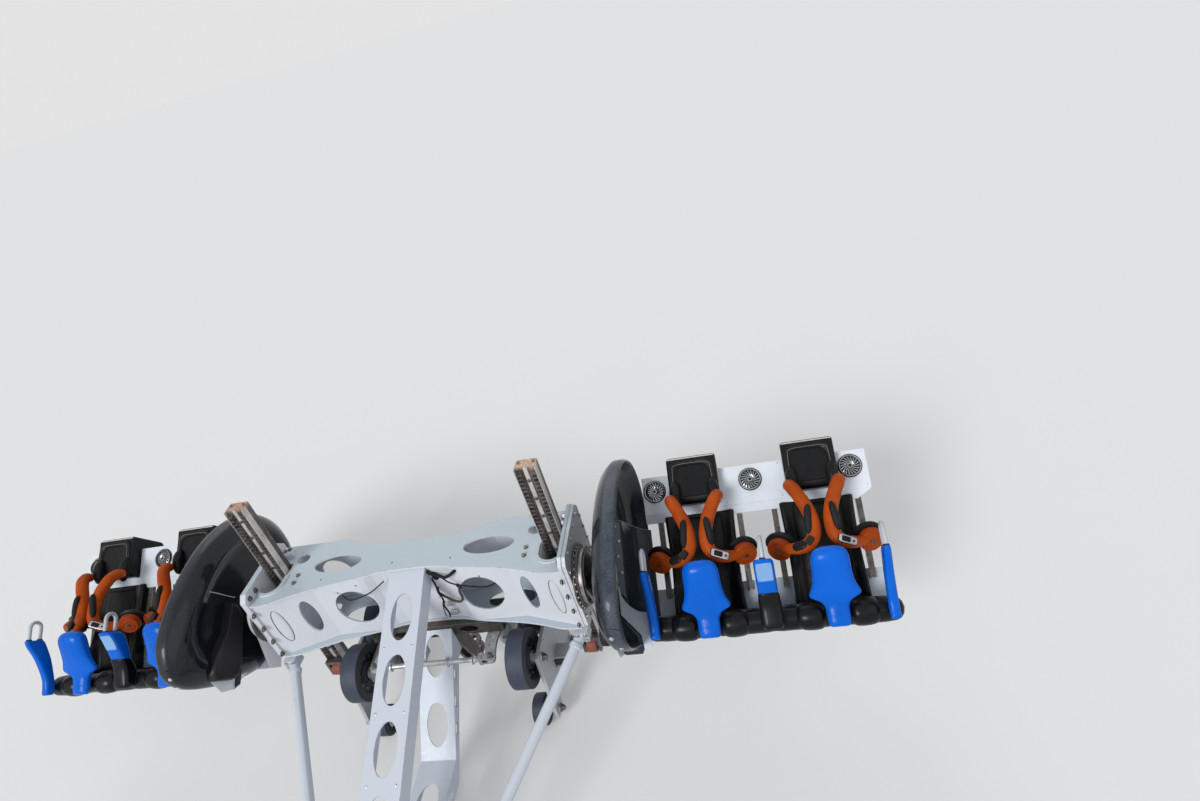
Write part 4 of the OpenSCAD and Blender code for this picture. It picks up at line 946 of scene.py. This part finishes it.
BRACKET_EDGE = [(0.041, -0.301), (0.054, -0.298), (0.166, -0.425), (0.178, -0.500), (0.164, -0.528),
                (0.062, -0.528), (0.016, -0.499), (0.010, -0.401)]
BRACKET_ROWS = [(-0.061, 0.96), (-0.063, 1.0), (-0.078, 1.0), (-0.085, 0.88), (-0.0855, 0.62), (-0.080, 0.56)]
BOX_EDGE = [(-0.225, 0.050), (-0.165, 0.035), (-0.115, -0.030), (-0.100, -0.340), (-0.125, -0.440),
            (-0.180, -0.462), (-0.330, -0.455), (-0.362, -0.410), (-0.345, -0.300), (-0.250, -0.140)]
BOX_ROWS = [(0.050, 1.0), (0.000, 1.0), (-0.018, 0.985), (-0.026, 0.95), (-0.028, 0.90), (-0.024, 0.80),
            (-0.024, 0.4)]
TAB_EDGE = [(-0.330, -0.440), (-0.200, -0.535), (-0.090, -0.525), (0.060, -0.410), (-0.030, -0.385)]

# The guard beside the inner seat: its line in plan, its lower and its upper edge by X
GUARD_LINE = [(0.056, -0.0945), (0.090, -0.0940), (0.1065, -0.0915), (0.1095, -0.074), (0.1105, -0.070),
              (0.113, -0.050), (0.1165, 0.0), (0.1245, 0.050), (0.1480, 0.1045), (0.1990, 0.1345),
              (0.2620, 0.1445)]
GUARD_ARC = [(0.054, 0.091), (0.060, 0.131), (0.072, 0.171), (0.095, 0.209), (0.140, 0.250)]
GUARD_TOP = [(0.0, 0.284), (0.108, 0.284), (0.150, 0.261), (0.200, 0.237), (0.300, 0.214)]


def along_rows(rows, x):
    """The value at x in a table of (x, value) rows."""
    for (x0, v0), (x1, v1) in zip(rows, rows[1:]):
        if x <= x1:
            return v0 + (v1 - v0) * max(0.0, x - x0) / (x1 - x0)
    return rows[-1][1]


def guard_columns():
    """Points along the guard in plan with the way out of its face and how far along it they lie."""
    line = [Vector((*p, 0)) for p in GUARD_LINE[:5]] + curve_through([(*p, 0) for p in GUARD_LINE[4:]], 5)[1:]
    columns, run = [], 0.0
    for i, p in enumerate(line):
        way = (line[min(i + 1, len(line) - 1)] - line[max(i - 1, 0)]).normalized()
        if i:
            run += (p - line[i - 1]).length
        columns.append((p, Vector((way.y, -way.x, 0)), run))
    return columns


def guard_point(p, out, run, v):
    top = along_rows(GUARD_TOP, p.x)
    low = -0.326 if p.y > -0.072 else -along_rows(GUARD_ARC, p.x)
    z = top + (low - top) * v
    lean = 0.55 * max(0.0, 0.02 - z) ** 1.4
    fade = min(1.0, 14 * (top - z)) * min(1.0, 12 * (z + 0.326))
    ribs = sum(math.exp(-((run - at - lean) / 0.011) ** 2) for at in (0.085, 0.132, 0.176)) * fade
    roll = 0.004 * max(0.0, 1 - (top - z) / 0.012) ** 2
    q = p + out * (0.0050 * ribs - 0.0035 + roll)
    return SHIELD_AT[0] + q.x, q.y, z


def make_side_guard(side):
    """The ribbed guard beside the inner seat, its front flange and its edge."""
    base = SHIELD_AT[0]
    columns = guard_columns()
    rows = [[guard_point(p, out, run, j / 40) for p, out, run in columns] for j in range(41)]
    thickened(wing_piece("side_guard", side, grid(rows), "seat_plastic", GUARD_FINISH, sharp=180), 0.0045)
    edge = [Vector(guard_point(p, out, run, 0)) + Vector((0, 0, 0.001)) for p, out, run in columns[1:]]
    wing_piece("guard_edge", side, tube(edge, 0.0032, 10), "seat_plastic", GUARD_EDGE)
    strip = [(0.058, 0.278), (0.101, 0.278), (0.101, -0.196), (0.085, -0.176), (0.068, -0.138), (0.058, -0.096)]
    flange = loft([[(base + x, y, z) for x, z in strip] for y in (-0.0935, -0.0975)])
    wing_piece("guard_flange", side, flange, "seat_plastic", GUARD_EDGE, bevel=0.001)
    heads = [bolt(0.007, (base + x, -0.0972, z), (0, -1, 0), round_head=True)
             for x, z in ((0.072, 0.252), (0.088, 0.158), (0.072, 0.064), (0.088, -0.040))]
    wing_piece("guard_bolts", side, joined(heads), "bright_steel")


# Harnesses
def seat_place(seat):
    """The frame of one seat, from the middle between its two harness hubs."""
    middle = (joint_at(f"harness_{seat}a_swing").x + joint_at(f"harness_{seat}b_swing").x) / 2
    return Matrix.Translation((middle, 0, 0)) @ WING


# The padded arm's middle line and radius, the hub and its fixed pad as (radius, height), the grip like the arm
HARNESS_PATH = [(0.238, -0.014, 0.002, 0.0290), (0.198, -0.052, -0.008, 0.0335), (0.148, -0.090, -0.010, 0.0380),
                (0.100, -0.114, 0.002, 0.0405), (0.068, -0.124, 0.032, 0.0415), (0.052, -0.124, 0.082, 0.0420),
                (0.055, -0.120, 0.150, 0.0425), (0.073, -0.113, 0.218, 0.0425), (0.101, -0.101, 0.284, 0.0425),
                (0.128, -0.080, 0.338, 0.0420), (0.145, -0.046, 0.368, 0.0405), (0.151, -0.012, 0.376, 0.0355),
                (0.152, 0.006, 0.370, 0.0270), (0.152, 0.014, 0.362, 0.0150)]
HUB_AXIS = Vector((0.2588, -0.729, -0.634))
HUB_PROFILE = [(0.001, -0.030), (0.058, -0.030), (0.068, -0.026), (0.0735, -0.016), (0.0742, -0.002),
               (0.0735, 0.012), (0.0700, 0.0220), (0.064, 0.0262), (0.058, 0.0245), (0.054, 0.0240),
               (0.048, 0.0265), (0.030, 0.0292), (0.014, 0.0298), (0.0105, 0.0290), (0.0095, 0.0240)]
HUB_PIN = [(0.001, 0.0246), (0.0085, 0.0246), (0.0085, 0.0275), (0.006, 0.0290), (0.001, 0.0292)]
HUB_PAD = [(0.4, -0.060), (0.86, -0.060), (0.97, -0.055), (1.0, -0.047), (0.97, -0.039), (0.86, -0.0335),
           (0.4, -0.0325)]
GRIP_PATH = [(0.0640, -0.1500, 0.226, 0.005), (0.0670, -0.1560, 0.222, 0.0145),
             (0.0720, -0.1590, 0.200, 0.0205), (0.0780, -0.1585, 0.150, 0.0225),
             (0.0820, -0.1555, 0.100, 0.0210), (0.0840, -0.1510, 0.072, 0.0145), (0.0840, -0.1470, 0.066, 0.005)]
LAP_PAD = [(0.6, 0.0), (0.92, 0.002), (1.0, 0.007), (0.96, 0.012), (0.80, 0.0155), (0.45, 0.0175),
           (0.05, 0.0180)]
LATCH_EYE = [(0.001, 0), (0.0070, 0), (0.0070, 0.0012), (0.001, 0.0014)]


def rounded_slab(a, b, t, r=0.3):
    """A plate with rounded corners and eased edges, in the XY plane about the middle."""
    rows = ((0.93, 0.0), (1.0, 0.22), (1.0, 0.78), (0.93, 1.0))
    return loft([[(x * k, y * (1 - (1 - k) * a / b), t * h) for x, y in oval(a, b, 40, r)] for k, h in rows])


def on_arm(path, i, lift=0.0):
    """A place on the front of the padded arm: X along it, Z out of it."""
    centre = Vector(path[i][:3])
    along = (Vector(path[i - 1][:3]) - Vector(path[i + 1][:3])).normalized()
    out = Vector((0.10, -1, 0.22))
    out = (out - along * out.dot(along)).normalized()
    turn = Matrix((along, out.cross(along), out)).transposed().to_4x4()
    return Matrix.Translation(centre + out * (path[i][3] + lift)) @ turn


def arm_path(seat):
    """The padded arm's middle line, its radius gently uneven as stuffed padding is."""
    path = curve_through(HARNESS_PATH, 6)
    for i, p in enumerate(path):
        t = i / (len(path) - 1)
        p[3] *= 1 + 0.012 * math.sin(57 * t) + 0.010 * math.sin(31 * t + seat)
    return path


def welts_along(path):
    """Two sewn welts on opposite sides of the padded arm."""
    welts = []
    for up_share in (0.97, -0.97):
        line = []
        for i in range(8, len(path) - 10):
            along = (Vector(path[i + 1][:3]) - Vector(path[i - 1][:3])).normalized()
            up = along.cross(along.cross(Vector((0.35, 1, 0.1))).normalized())
            line.append(Vector(path[i][:3]) + (path[i][3] - 0.0002) * up_share * up)
        welts.append(tube(line, 0.0016, 8))
    return joined(welts)


def make_harness(seat, letter):
    """One half of a seat's harness, drawn for half b and mirrored for half a."""
    body = f"harness_{seat}{letter}"
    half = Matrix.Diagonal((-1 if letter == "a" else 1, 1, 1, 1))
    at_hub = towards((HUB_SIDE, 0, 0), HUB_AXIS)

    def add(name, shape, finish=RUBBER_BLACK, slot="seat_plastic"):
        return piece(f"{name}_{seat}{letter}", moved(shape, half), body, finish, slot, seat_place(seat))

    path = arm_path(seat)
    rounded = [p.copy() for p in path]
    for back, share in ((0.004, 0.75), (0.003, 0.40)):
        tip = rounded[-1]
        rounded.append(Vector((tip.x, tip.y + back, tip.z - back, path[-1][3] * share)))
    arm = add("padded_arm", tube(rounded, n=36, flat=0.97), FINISH["harness_vinyl"], "harness_vinyl")
    # The hub's vinyl is darker than the arm's, partly painted shade
    hub = add("padded_hub", moved(lathe(HUB_PROFILE, 64), at_hub), HUB_VINYL_WITH_SHADE, "harness_vinyl")
    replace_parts(arm, body)
    add("harness_welts", welts_along(path), SEAM_ORANGE, "harness_vinyl")
    add("hub_pin", moved(lathe(HUB_PIN, 20), at_hub))
    add("grip", tube(curve_through(GRIP_PATH, 6), n=28))
    if letter == "a":
        boss = loft([[(x * k, y * k, h - 0.006) for x, y in oval(0.046, 0.027, 44, 0.75)] for k, h in LAP_PAD])
        add("lap_pad", moved(boss, on_arm(path, 14)), BLACK_VINYL)
        add("latch_block", moved(rounded_slab(0.026, 0.020, 0.026, 0.35), on_arm(path, 22, -0.006)))
    else:
        at = on_arm(path, 17, -0.0045)
        add("latch_bed", moved(shifted(rounded_slab(0.060, 0.026, 0.006), 0, 0, -0.001), at))
        lifted = at @ Matrix.Translation((0, 0, 0.004))
        add("latch_plate", moved(rounded_slab(0.056, 0.0225, 0.006), lifted), LATCH_METAL, "chrome_trim")
        window = shifted(rounded_slab(0.027, 0.0165, 0.005), -0.012, 0, 0.0042)
        add("latch_window", moved(window, lifted), BLACK_VINYL)
        add("latch_eye", moved(shifted(lathe(LATCH_EYE, 24), 0.037, 0, 0.0058), lifted))


def make_hub_pads(side):
    """The fixed pad behind each hub and the sleeve of its bracket."""
    pads, arms = [], []
    rings = [[(0.094 * k * c, 0.080 * k * q + 0.012, h) for c, q in oval(1, 1, 48)] for k, h in HUB_PAD]
    for x in seats():
        for s in (-1, 1):
            axis = Vector((s * HUB_AXIS.x, HUB_AXIS.y, HUB_AXIS.z))
            pads.append(moved(loft(rings), towards((x + s * HUB_SIDE, 0, 0), axis)))
            path = curve_through([(x + s * 0.262, 0.030, 0.030, 0.026), (x + s * 0.262, 0.070, 0.034, 0.030),
                                  (x + s * 0.256, 0.120, 0.034, 0.032), (x + s * 0.250, 0.165, 0.034, 0.034)], 5)
            arms.append(tube(path, n=20))
    pad = wing_piece("hub_pads", side, joined(pads), "seat_plastic", BLACK_VINYL)
    wing_piece("hub_boots", side, joined(arms), "seat_plastic", RUBBER_BLACK)


# Cross beam and chassis
DECK_Z = -0.080
FLOOR_Z = -0.600
BEAM_INNER = 1.095
COVER_X = 0.999
SPINE_SLOPE = math.radians(25.2)
RING_BOLTS, RING_BOLT_R = 28, 0.2015
# How far back the front wall stands, by the distance from the middle
WALL_LINE = [(0.0, 0.208), (0.200, 0.208), (0.262, 0.194), (0.312, 0.164), (0.352, 0.152), (0.705, 0.146),
             (1.095, 0.016)]


def at_beam(x, y, z):
    return Vector((x, BEAM_FRONT + y, BEAM_TOP + z))


def both_sides(shape):
    return joined([shape, moved(shape, Matrix.Diagonal((-1, 1, 1, 1)))])


def bolts(name, heads, slot="bright_steel", body="chassis", mirror=False, finish=None):
    """Bolt heads as one piece, on both sides of the car where asked."""
    shape = joined(heads)
    piece(name, both_sides(shape) if mirror else shape, body, FINISH[finish or slot], slot, sharp=30)


def beam_bolts(name, rows, r, way, round_head=False):
    """Bolts at places in the beam's frame, their dark steel partly painted shade: small round ones as placed,
    large ones on both sides.
    """
    heads = [bolt(r, at_beam(*row), way, round_head) for row in rows]
    bolts(name, heads, mirror=not round_head, finish="dark_steel")


def trim(name, shape, slot, finish=None, **how):
    piece(name, shape, "chassis", finish or FINISH[slot], slot, **how)


def wall_line(x):
    return along_rows(WALL_LINE, x)


def make_beam_trim():
    edge = [(BEAM_INNER, -0.006, z) for z in (-0.160, -0.293, -0.426, -0.560)]
    beam_bolts("edge_nuts", edge, 0.0145, (-1, 0, 0))
    beam_bolts("deck_nuts", [(BEAM_INNER, y, -0.050) for y in (0.053, 0.126)], 0.0145, (-1, 0, 0))
    beam_bolts("deck_bolts", [(0.836, 0.250, DECK_Z), (0.836, 0.180, DECK_Z)], 0.0125, (0, 0, 1))
    screws = [(-0.122, 0.262, DECK_Z), (-0.625, 0.181, DECK_Z), (0.31, 0.240, DECK_Z)]
    beam_bolts("deck_screws", screws, 0.005, (0, 0, 1), round_head=True)
    dots = [(x, wall_line(abs(x)), z) for x, z in ((-0.379, -0.142), (-0.536, -0.188), (0.498, -0.184))]
    beam_bolts("wall_screws", dots, 0.005, (0, -1, 0), round_head=True)
    make_covers()
    bracket = [(-0.056, -0.046), (0.056, -0.046), (0.056, 0.026), (0.030, 0.044), (-0.030, 0.044),
               (-0.056, 0.026)]
    turned = Matrix.Translation(at_beam(-1.035, 0.470, DECK_Z)) @ Matrix.Rotation(0.35, 4, "Z")
    trim("deck_bracket", moved(slab(bracket, 0.034), turned), "beam_paint", bevel=0.003)
    three = [moved(shifted(bolt_shape(0.0135), x, y, 0.034), turned)
             for x, y in ((-0.034, -0.022), (0.002, 0.004), (0.034, 0.010))]
    bolts("bracket_bolts", three, "dark_steel")
    lug = slab([(-0.018, -0.014), (0.018, -0.014), (0.018, 0.014), (-0.018, 0.014)], 0.022)
    places = [towards(at_beam(BEAM_INNER, y, z), (-1, 0, 0))
              for y, z in ((0.365, -0.030), (0.400, -0.052), (0.430, -0.028))]
    trim("plate_lugs", both_sides(joined([moved(lug, at) for at in places])), "bright_steel", bevel=0.002)
    heads = [moved(shifted(bolt_shape(0.009), 0, 0, 0.022), at) for at in places]
    bolts("lug_bolts", heads, "dark_steel", mirror=True)


def make_covers():
    """The oval covers in the walls' outer fields, each with a dark ring round its edge that paints the shadow gap
    there.
    """
    slope = Vector((0.390, -0.130, 0)).normalized()
    out = Vector((slope.y, -slope.x, 0))
    turn = Matrix((slope, Vector((0, 0, 1)), out)).transposed().to_4x4()
    place = Matrix.Translation(at_beam(COVER_X, wall_line(COVER_X), (DECK_Z + FLOOR_Z) / 2 - 0.007)) @ turn
    rows = ((1.0, -0.0075), (1.0, -0.003), (0.94, 0.0), (0.55, 0.0015), (0.02, 0.002))
    cover = loft([[(x * k, y * k, h) for x, y in oval(0.0385, 0.1500, 56)] for k, h in rows])
    # A dark ring round each cover's edge: a painted shadow gap
    edge = [Vector((x, y, -0.0060)) for x, y in oval(0.0412, 0.1530, 56)]
    shadow_ring = tube(edge + edge[:1], 0.0022, 8)
    trim("oval_covers", both_sides(moved(cover, place)), "beam_paint", sharp=60)
    trim("cover_shadow_rings", both_sides(moved(shadow_ring, place)), "dark_steel", RUBBER_BLACK)


# Hoses and leads on the front wall: name, radius, finish and their points
CABLES = [
    ("feed_hose", 0.011, RUBBER_BLACK,
     [(0.385, 0.20, -0.110), (0.330, 0.130, -0.118), (0.270, 0.140, -0.150), (0.200, 0.185, -0.168),
      (0.150, 0.190, -0.150), (0.136, 0.200, -0.130)]),
    ("sensor_lead", 0.005, RUBBER_BLACK,
     [(0.215, 0.176, -0.165), (0.30, 0.128, -0.195), (0.42, 0.120, -0.235), (0.53, 0.128, -0.262),
      (0.60, 0.170, -0.27)]),
    ("brown_hose", 0.0085, BROWN_HOSE,
     [(0.330, 0.1786, -0.262), (0.332, 0.1286, -0.275), (0.330, 0.1246, -0.345), (0.285, 0.1442, -0.392),
      (0.225, 0.1635, -0.385), (0.175, 0.172, -0.345), (0.150, 0.178, -0.318), (0.142, 0.210, -0.300)]),
    ("drop_lead", 0.006, RUBBER_BLACK,
     [(0.146, 0.190, -0.200), (0.150, 0.186, -0.260), (0.156, 0.168, -0.310), (0.168, 0.160, -0.380),
      (0.160, 0.150, -0.430), (0.172, 0.145, -0.490), (0.160, 0.150, -0.530)]),
    ("drop_lead_thin", 0.0035, RUBBER_BLACK,
     [(0.156, 0.178, -0.300), (0.176, 0.150, -0.350), (0.158, 0.140, -0.410), (0.148, 0.138, -0.470),
      (0.140, 0.145, -0.520)]),
    ("left_lead", 0.0045, RUBBER_BLACK,
     [(-0.18, 0.170, -0.150), (-0.27, 0.128, -0.190), (-0.36, 0.120, -0.220), (-0.46, 0.126, -0.245),
      (-0.54, 0.180, -0.250)]),
]


def make_cables():
    for name, radius, finish, points in CABLES:
        line = curve_through([at_beam(*p) for p in points], 8)
        trim(name, tube(line, radius, 14), "dark_steel", finish)
    grommet = lathe([(0.001, 0), (0.030, 0), (0.032, 0.004), (0.028, 0.009), (0.016, 0.010),
                     (0.001, 0.006)], 28)
    place = towards(at_beam(0.168, 0.2078, -0.190), (0, -1, 0)) @ Matrix.Diagonal((0.75, 1.2, 1, 1))
    trim("grommet", moved(grommet, place), "dark_steel", RUBBER_BLACK)
    port = lathe([(0.001, 0), (0.024, 0), (0.025, 0.003), (0.019, 0.005), (0.001, 0.004)], 28)
    place = towards(at_beam(0.326, wall_line(0.326) - 0.001, -0.262), (-0.37, -0.93, 0))
    trim("hose_port", moved(port, place), "dark_steel", RUBBER_BLACK)
    ties = [tube([at_beam(0.163 + x, 0.156 + y, z) for x, y, _ in circle(0.011, 0, 12, 13)], 0.002, 6)
            for z in (-0.34, -0.40, -0.46)]
    trim("cable_ties", joined(ties), "panel_plastic", CREAM_PIPING_AND_HIGHLIGHT)
    clamp = slab([(-0.026, -0.020), (0.026, -0.020), (0.032, 0.004), (0.018, 0.024), (-0.020, 0.022)], 0.012)
    clamps = [moved(clamp, towards(at_beam(0.172, 0.200, z), (0, -1, 0))) for z in (-0.455, -0.545)]
    trim("clamps", joined(clamps), "bright_steel", bevel=0.002)


def make_rings():
    """Bolts of the slewing rings' flanges and of the end plates."""
    flange_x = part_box("slewing_rings")[1].x - 0.0165
    flange = [bolt(0.007, (flange_x, AXIS.y + y, AXIS.z + z), (1, 0, 0))
              for y, z in ((RING_BOLT_R * c, RING_BOLT_R * q)
                           for c, q in (on_circle(k + 0.5, RING_BOLTS) for k in range(RING_BOLTS)))]
    bolts("ring_bolts", flange, mirror=True)
    rows = [(y, z) for y in (0.030, 0.540) for z in (-0.12, -0.22, -0.32, -0.42, -0.52)]
    rows += [(y, z) for z in (-0.040, -0.600) for y in (0.11, 0.23, 0.35, 0.46)]
    bolts("plate_bolts", [bolt(0.011, at_beam(PLATE_HIGH.x, y, z), (1, 0, 0)) for y, z in rows], mirror=True)


RACK_LENGTH = 1.530
RACK_ROOT = 0.1025


def make_racks():
    """The wiped strips beside and between a rack's teeth, and its bolts."""
    for side, sign in SIDES.items():
        body = f"rack_{side}"
        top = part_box(body)[1].z
        x, root, foot = sign * AXIS.x, AXIS.y + RACK_ROOT, top - RACK_LENGTH
        z0, z1 = foot + 0.004, top - 0.003
        strips = [box_shape((x + s * 0.0675, AXIS.y + 0.108, (z0 + z1) / 2), (0.005, 0.048, z1 - z0))
                  for s in (-1, 1)]
        strips.append(box_shape((x, root - 0.002, (z0 + z1) / 2), (0.026, 0.004, z1 - z0)))
        piece(f"rack_strips_{side}", joined(strips), body, WIPED_STEEL, "greased_steel", bevel=0.001)
        heads = [bolt(0.0095, (x, root - 0.004, foot + 0.120 + 0.145 * k), (0, -1, 0)) for k in range(10)]
        bolts(f"rack_bolts_{side}", heads, "dark_steel", body)
        heads = [bolt(0.0085, (x + s * 0.048, AXIS.y + 0.15, top), (0, 0, 1)) for s in (-1, 1)]
        bolts(f"rack_top_bolts_{side}", heads, "dark_steel", body)


# Kind, radius, width, number of bolts and the radius of their heads
WHEELS = [("road_wheel", 0.200, 0.130, 10, 0.0085), ("upstop_wheel", 0.110, 0.090, 6, 0.006)]
HUB_CAP = [(0.031, 0), (0.047, 0), (0.047, 0.003), (0.044, 0.005), (0.031, 0.005), (0.031, 0)]


def make_wheels():
    """Hub caps and nuts on the running wheels."""
    for kind, r, width, count, head in WHEELS:
        for end in ("fl", "fr", "rl", "rr"):
            name = f"{kind}_{end}"
            low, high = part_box(name)
            mid = (low + high) / 2
            heads, caps = [], []
            for s in (-1, 1):
                web = mid.x + s * width / 2 * 0.55
                heads += [bolt(head, (web, mid.y + 0.55 * r * c, mid.z + 0.55 * r * q), (s, 0, 0))
                          for c, q in (on_circle(k, count) for k in range(count))]
                face = mid.x + s * (width / 2 - 0.0045)
                caps.append(moved(lathe(HUB_CAP, 40, caps=False), towards((face, mid.y, mid.z), (s, 0, 0))))
            bolts(f"{name}_bolts", heads, "dark_steel", name)
            bolts(f"{name}_caps", caps, body=name)


# How far out the running wheels' axle stubs and the bogies' plates end
AXLE_END, BOGIE_FACE = 0.746, 0.731


def make_bogie_trim():
    king_y = joint_at("steer_left").y
    tip = lathe([(0.001, 0.018), (0.015, 0.018), (0.015, 0.030), (0.012, 0.033), (0.001, 0.033)], 24)
    nut = joined([bolt_shape(0.024), tip])
    for side, sign in SIDES.items():
        nuts = []
        for wheel in (f"{kind}_{end}{side[0]}" for kind in ("road_wheel", "upstop_wheel") for end in "fr"):
            low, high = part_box(wheel)
            mid = (low + high) / 2
            nuts.append(moved(nut, towards((sign * AXLE_END, mid.y, mid.z), (sign, 0, 0))))
        bolts(f"axle_nuts_{side}", nuts, "dark_steel", f"bogie_{side}")
        rows = [(y, 0.600) for y in (-0.20, -0.10, 0.10, 0.20)] + [(y, 0.470) for y in (-0.17, 0.17)]
        heads = [bolt(0.010, (sign * BOGIE_FACE, king_y + y, z), (sign, 0, 0)) for y, z in rows]
        bolts(f"plate_bolts_{side}", heads, body=f"bogie_{side}")


def make_tie_rod():
    low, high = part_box("tie_rod")
    mid, end = (low + high) / 2, (high.x - low.x) / 2 - 0.024
    ridges = [(0.001, -0.110)]
    k = -0.110
    while k < 0.110:
        ridges += [(0.0172, k), (0.0184, k + 0.0015)]
        k += 0.003
    ridges.append((0.001, 0.110))
    thread = moved(lathe(ridges, 24), towards(mid, (1, 0, 0)))
    piece("tie_thread", thread, "tie_rod", FINISH["bright_steel"], "bright_steel", sharp=60)
    nuts = [bolt(0.024, (mid.x + s * x, mid.y, mid.z), (s, 0, 0)) for s in (-1, 1) for x in (0.120, 0.300)]
    bolts("tie_nuts", nuts, body="tie_rod")
    pins = [bolt(0.014, (mid.x + s * end, mid.y, high.z), (0, 0, 1)) for s in (-1, 1)]
    bolts("tie_pins", pins, "dark_steel", "tie_rod")


def make_spine_trim():
    """Screws down the upper spine, bolts and collars at the feet of the struts."""
    run, rise = math.cos(SPINE_SLOPE), math.sin(SPINE_SLOPE)
    heads = []
    for i in range(4):
        for s in (-1, 1):
            along = 0.510 + 0.385 * i
            at = at_beam(s * 0.095, 0.215 - along * run, -0.097 - along * rise)
            heads.append(bolt(0.006, at, (0, -rise, run), round_head=True))
    bolts("spine_screws", heads)
    feet = [bolt(0.013, at_beam(1.081 + x, -0.0160, -0.675 + z), (0, -1, 0))
            for x in (-0.026, 0.026) for z in (-0.020, 0.020)]
    bolts("strut_bolts", feet, mirror=True)
    foot = at_beam(1.075, 0.026, -0.676)
    way = (at_beam(0.174, -1.910, -1.250) - foot).normalized()
    collar = lathe([(0.034, 0), (0.043, 0.003), (0.043, 0.030), (0.034, 0.036)], 32)
    trim("strut_collars", both_sides(moved(collar, towards(foot + way * 0.075, way))), "spine_paint")


def dress_node(node_name, finish):
    """Gives one CAD node a finish of its own."""
    frame["nodes"][node_name].data.materials[0] = finish


dress_node("wing_arm_right", GREASY_HUB)
for name in SIDES:
    make_horns(name)
    make_seats(name)
    make_headrests(name)
    make_panel(name)
    make_speakers(name)
    dress_node(f"handles_{name}", HANDLE_GREY)
    make_shield(name)
    make_shield_foot(name)
    make_side_guard(name)
    make_hub_pads(name)
for number in (1, 2, 3, 4):
    make_harness(number, "a")
    make_harness(number, "b")
make_beam_trim()
make_cables()
make_rings()
make_racks()
make_wheels()
make_bogie_trim()
make_tie_rod()
make_spine_trim()


bpy.context.scene.view_settings.view_transform = "Standard"
